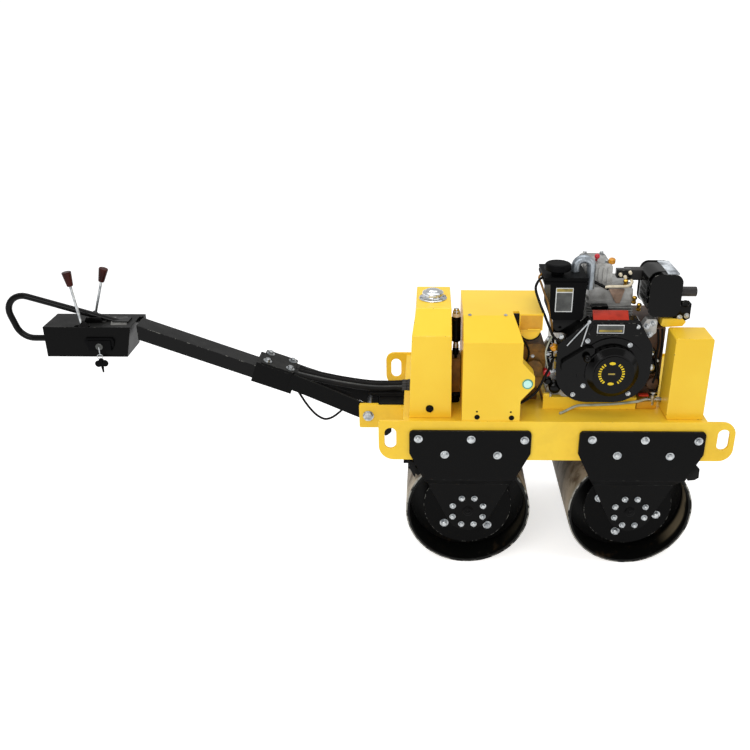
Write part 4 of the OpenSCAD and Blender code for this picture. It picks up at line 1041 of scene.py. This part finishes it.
# Electric starter, its solenoid and terminals on the crankcase's other corner
motor = Shape().turned((318, -176, 712), (0, 1, 0), [(0, 20), (3, 26), (8, 28), (110, 28), (116, 24)])
motor.turned((316, -170, 762), (0, 1, 0), [(0, 13), (2, 15), (70, 15), (74, 11)])
motor.block((276, -150, 690), (312, -120, 780))
motor.piece("starter_motor", ENGINE_BLACK)
ends = Shape().turned((318, -177, 712), NEAR, [(-1, 12), (3, 12), (5, 9), (6, 4)])
ends.turned((316, -171, 762), NEAR, [(-1, 8), (5, 8), (7, 5), (12, 4)])
ends.turned((338, -150, 735), NEAR, [(0, 5), (26, 5), (28, 3)])
ends.turned((334, -150, 700), NEAR, [(0, 6), (22, 6), (24, 3)])
ends.piece("starter_terminals", ZINC)
bolts("arm_bolts", [(292, -165, 852), (304, -165, 824), (310, -165, 862)], 6.5, washer=10, height=6)

# Bracket and yellow end piece at the muffler's far corner, a painted glare on its top, and its far end
outline = [(382, 866), (414, 860), (436, 872), (436, 926), (424, 938), (382, 938)]
bracket = Shape().plate(rounded(outline, 5), "Y", -150, -143)
bracket.block((378, -150, 862), (386, -100, 938))
bracket.turned((410, -150, 926), NEAR, [(0, 12), (7, 12), (8, 9.5), (3, 9)])
bracket.piece("muffler_bracket", ENGINE_BLACK, 1.2)
bolts("muffler_bracket_bolts", [(398, -150, 878), (420, -150, 884)], 6, washer=9)
outline = [(334, 846), (352, 838), (414, 842), (429, 864), (410, 880), (338, 880)]
Shape().plate(rounded(outline, 7), "Y", -152, -104).piece("yellow_end_piece", YELLOW, 2)
Shape().plate(round_rect((337, -166), (381, -16), 4), "Z", 1025.6, 1029.4).piece("muffler_top_glare", GLARE, 0.3)
shell = Shape()
shell.plate(round_rect((270, 872), (384, 1027), 34), "Y", -12, 26)
shell.plate(round_rect((267, 869), (387, 1030), 36), "Y", 24, 30)
shell.piece("muffler_end_chamber", ENGINE_BLACK, 1.2)

# Gear cover on the crankcase's end beside the water tank, with a round boss, dark brown as painted shade of the
# engine's side there
cover = Shape().block((262, -160, 598), (357, 60, 846))
cover.turned((330, -168, 650), NEAR, [(-20, 22), (4, 22), (6, 18)], 20)
cover.piece("gear_cover", SHADED_BROWN, 4)

# ---- Steering handle's small parts ---------------------------------------------------

PLATE_LOW, PLATE_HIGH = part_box("joint_plate")
SLOPE = math.radians(20.3)


def on_tube(along, y, lift):
    """A point on the joint plate's slope: along it from its middle, across it, and above its top."""
    middle = ((PLATE_LOW.x + PLATE_HIGH.x) / 2 - MIDDLE) / MM
    top = (PLATE_LOW.z + PLATE_HIGH.z) / 2 / MM
    return (
        middle + along * math.cos(SLOPE) + lift * math.sin(SLOPE), y,
        top - along * math.sin(SLOPE) + lift * math.cos(SLOPE),
    )


places = [on_tube(along, y, 5) for along in (-41, 41) for y in (-33, 33)]
up_slope = (math.sin(SLOPE), 0, math.cos(SLOPE))
bolts("joint_plate_bolts", places, 9.5, up_slope, washer=15, height=8, body="handle")

# Box top: a bolt, a blank plate, the loop's clamp, and boots where the levers come out
BOX_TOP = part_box("control_box")[1].z / MM
bolts("box_top_bolt", [(-1588, 29, BOX_TOP)], 7, UP, washer=11, height=5, body="handle")
blank = Shape().plate([(-1522, 34), (-1466, 35), (-1446, -44), (-1500, -44)], "Z", BOX_TOP, BOX_TOP + 0.8)
blank.piece("box_blank_plate", PALE_SMOKE, body="handle")
clamp = Shape().block((-1606, -26, BOX_TOP - 1), (-1524, 26, BOX_TOP + 4))
outline = [(-1600, BOX_TOP), (-1530, BOX_TOP), (-1536, BOX_TOP + 22), (-1590, BOX_TOP + 22)]
clamp.plate(rounded(outline, 3), "Y", -26, -22)
clamp.piece("loop_clamp", BLACK, 0.8, body="handle")
profile = [(0, 17)]
for k in range(5):
    profile += [(2 + 3 * k, 17 - 2.3 * k), (3.5 + 3 * k, 14 - 2.3 * k)]
for name, x, y in (("near", -1588.5, -55), ("far", -1584.5, 48)):
    boot = Shape().turned((x, y, BOX_TOP - 1), UP, profile + [(18, 5)])
    boot.piece("lever_boot_" + name, RUBBER, body="handle")

# Key switch: bezel, barrel, key, ring and tag
POCKET_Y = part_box("switch_pocket")[0].y / MM
outline = [(-1592, 752), (-1582, 766), (-1490, 766), (-1482, 752), (-1488, 728), (-1584, 728)]
bezel = Shape().plate(rounded(outline, 4), "Y", -66, POCKET_Y + 5)
bezel.piece("switch_panel", PLASTIC, 1, body="handle")
barrel = Shape().turned((-1537, POCKET_Y, 734), NEAR, [(-1, 12), (2, 12), (3.5, 10), (3.5, 6), (5, 5)])
barrel.piece("key_barrel", SLATE, body="handle", slot="zinc")
blade = Shape().plate(round_rect((-1540, 702), (-1534, 736), 2.5), "Y", POCKET_Y - 3, POCKET_Y - 5.4)
blade.piece("key_blade", ZINC, 0.4, body="handle")
ring = circle((-1537, POCKET_Y - 6, 700), 9, range(0, 380, 20))
Shape().swept(ring, 1.3, 8, 2).piece("key_ring", ZINC, body="handle")
tag = Shape()
for x, z, r in ((-1546, 674, 12), (-1524, 676, 12), (-1535, 686, 9)):
    tag.turned((x, POCKET_Y - 4, z), NEAR, [(0, r - 1), (1, r), (4, r), (5, r - 1)], 20)
tag.plate([(-1540, 676), (-1528, 676), (-1531, 642), (-1536, 642)], "Y", POCKET_Y - 5, POCKET_Y - 8)
tag.piece("key_tag", PLASTIC, 0.5, body="handle")

# ---- Hydraulic hoses from the handle to the tank -------------------------------------

HOSE_ROUTE = [
    (-905, 618), (-880, 609), (-840, 598), (-790, 586), (-740, 575), (-690, 566), (-650, 560), (-610, 556),
    (-570, 555), (-530, 556), (-503, 558),
]
FITTING = [(-7, 8.6), (-5, 9.6), (9, 9.6), (10, 8.4), (12, 11), (21, 11), (22.5, 9.6)]
HOSE_SIZES = {"Radius": 8.0, "Pitch": 5.0, "Depth": 0.7}

HOSES = ((-34, 6, RUBBER), (-12, 1, HOSE_GREY), (10, 3, RUBBER), (33, 0, RUBBER))

for number, (y, sag, finish) in enumerate(HOSES, 1):
    route = spline([Vector((x, y, z + sag * (x < -520))) for x, z in HOSE_ROUTE], 5)
    name = f"hydraulic_hose_{number}"
    hose = grown(name, RIBBED, route, HOSE_SIZES, finish, path=True, angle=60, body=None)
    at(-700, 0, 568)
    at(-560, 0, 555)
    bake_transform(hose)
    fitting = Shape().turned(route[-1], FORWARD, FITTING, 6)
    fitting.piece(f"hose_fitting_{number}", SCORCHED, slot="black_paint")

# ---- Floor, light and background -----------------------------------------------------


def floor():
    f = Finish("pale_floor")
    diffuse = f.node("ShaderNodeBsdfDiffuse", {}, {"Color": (0.82, 0.82, 0.82, 1)})
    seen = f.node("ShaderNodeLightPath", output="Is Camera Ray")
    glossy = f.node("ShaderNodeLightPath", output="Is Glossy Ray")
    lift = f.node("ShaderNodeEmission", {}, {"Color": (1, 1, 1, 1), "Strength": (seen + glossy) * 0.62})
    both = f.node("ShaderNodeAddShader", {}, {0: diffuse, 1: lift})
    f.tree.links.new(both.socket, f.tree.nodes.new("ShaderNodeOutputMaterial").inputs["Surface"])
    bpy.ops.mesh.primitive_plane_add(size=400)
    plane = bpy.context.object
    plane.name = "floor"
    plane.data.materials.append(f.material)


def background():
    world = bpy.data.worlds.new("studio")
    bpy.context.scene.world = world
    world.use_nodes = True
    world.node_tree.nodes.clear()
    w = Tree(world.node_tree)
    seen = w.node("ShaderNodeLightPath", output="Is Camera Ray")
    glossy = w.node("ShaderNodeLightPath", output="Is Glossy Ray")
    white = w.node("ShaderNodeBackground", {}, {"Color": (1, 1, 1, 1), "Strength": 1.0})
    room = w.node("ShaderNodeBackground", {}, {"Color": (1, 1, 1, 1), "Strength": 0.55})
    shown = seen + glossy * 0.15
    both = w.node("ShaderNodeMixShader", {}, {0: shown, 1: room, 2: white})
    w.tree.links.new(both.socket, w.tree.nodes.new("ShaderNodeOutputWorld").inputs["Surface"])


def soft_light(name, place, aim, size, power):
    data = bpy.data.lights.new(name, "AREA")
    data.shape = "RECTANGLE"
    data.size, data.size_y = size
    data.energy = power
    lamp = bpy.data.objects.new(name, data)
    lamp.location = place
    lamp.rotation_euler = (Vector(aim) - Vector(place)).to_track_quat("-Z", "Y").to_euler()
    bpy.context.scene.collection.objects.link(lamp)


floor()
background()
soft_light("key", (-0.9, -3.6, 2.7), (0.2, 0, 0.5), (2.6, 1.8), 70)
soft_light("overhead", (0.4, 0.3, 3.2), (0.2, 0, 0.5), (2.8, 2.2), 38)
soft_light("side", (3.2, -1.4, 1.9), (0.4, 0, 0.5), (1.4, 1.6), 9)

bpy.context.scene.view_settings.view_transform = "Standard"


def corners(box):
    return [list(corner) for corner in box]
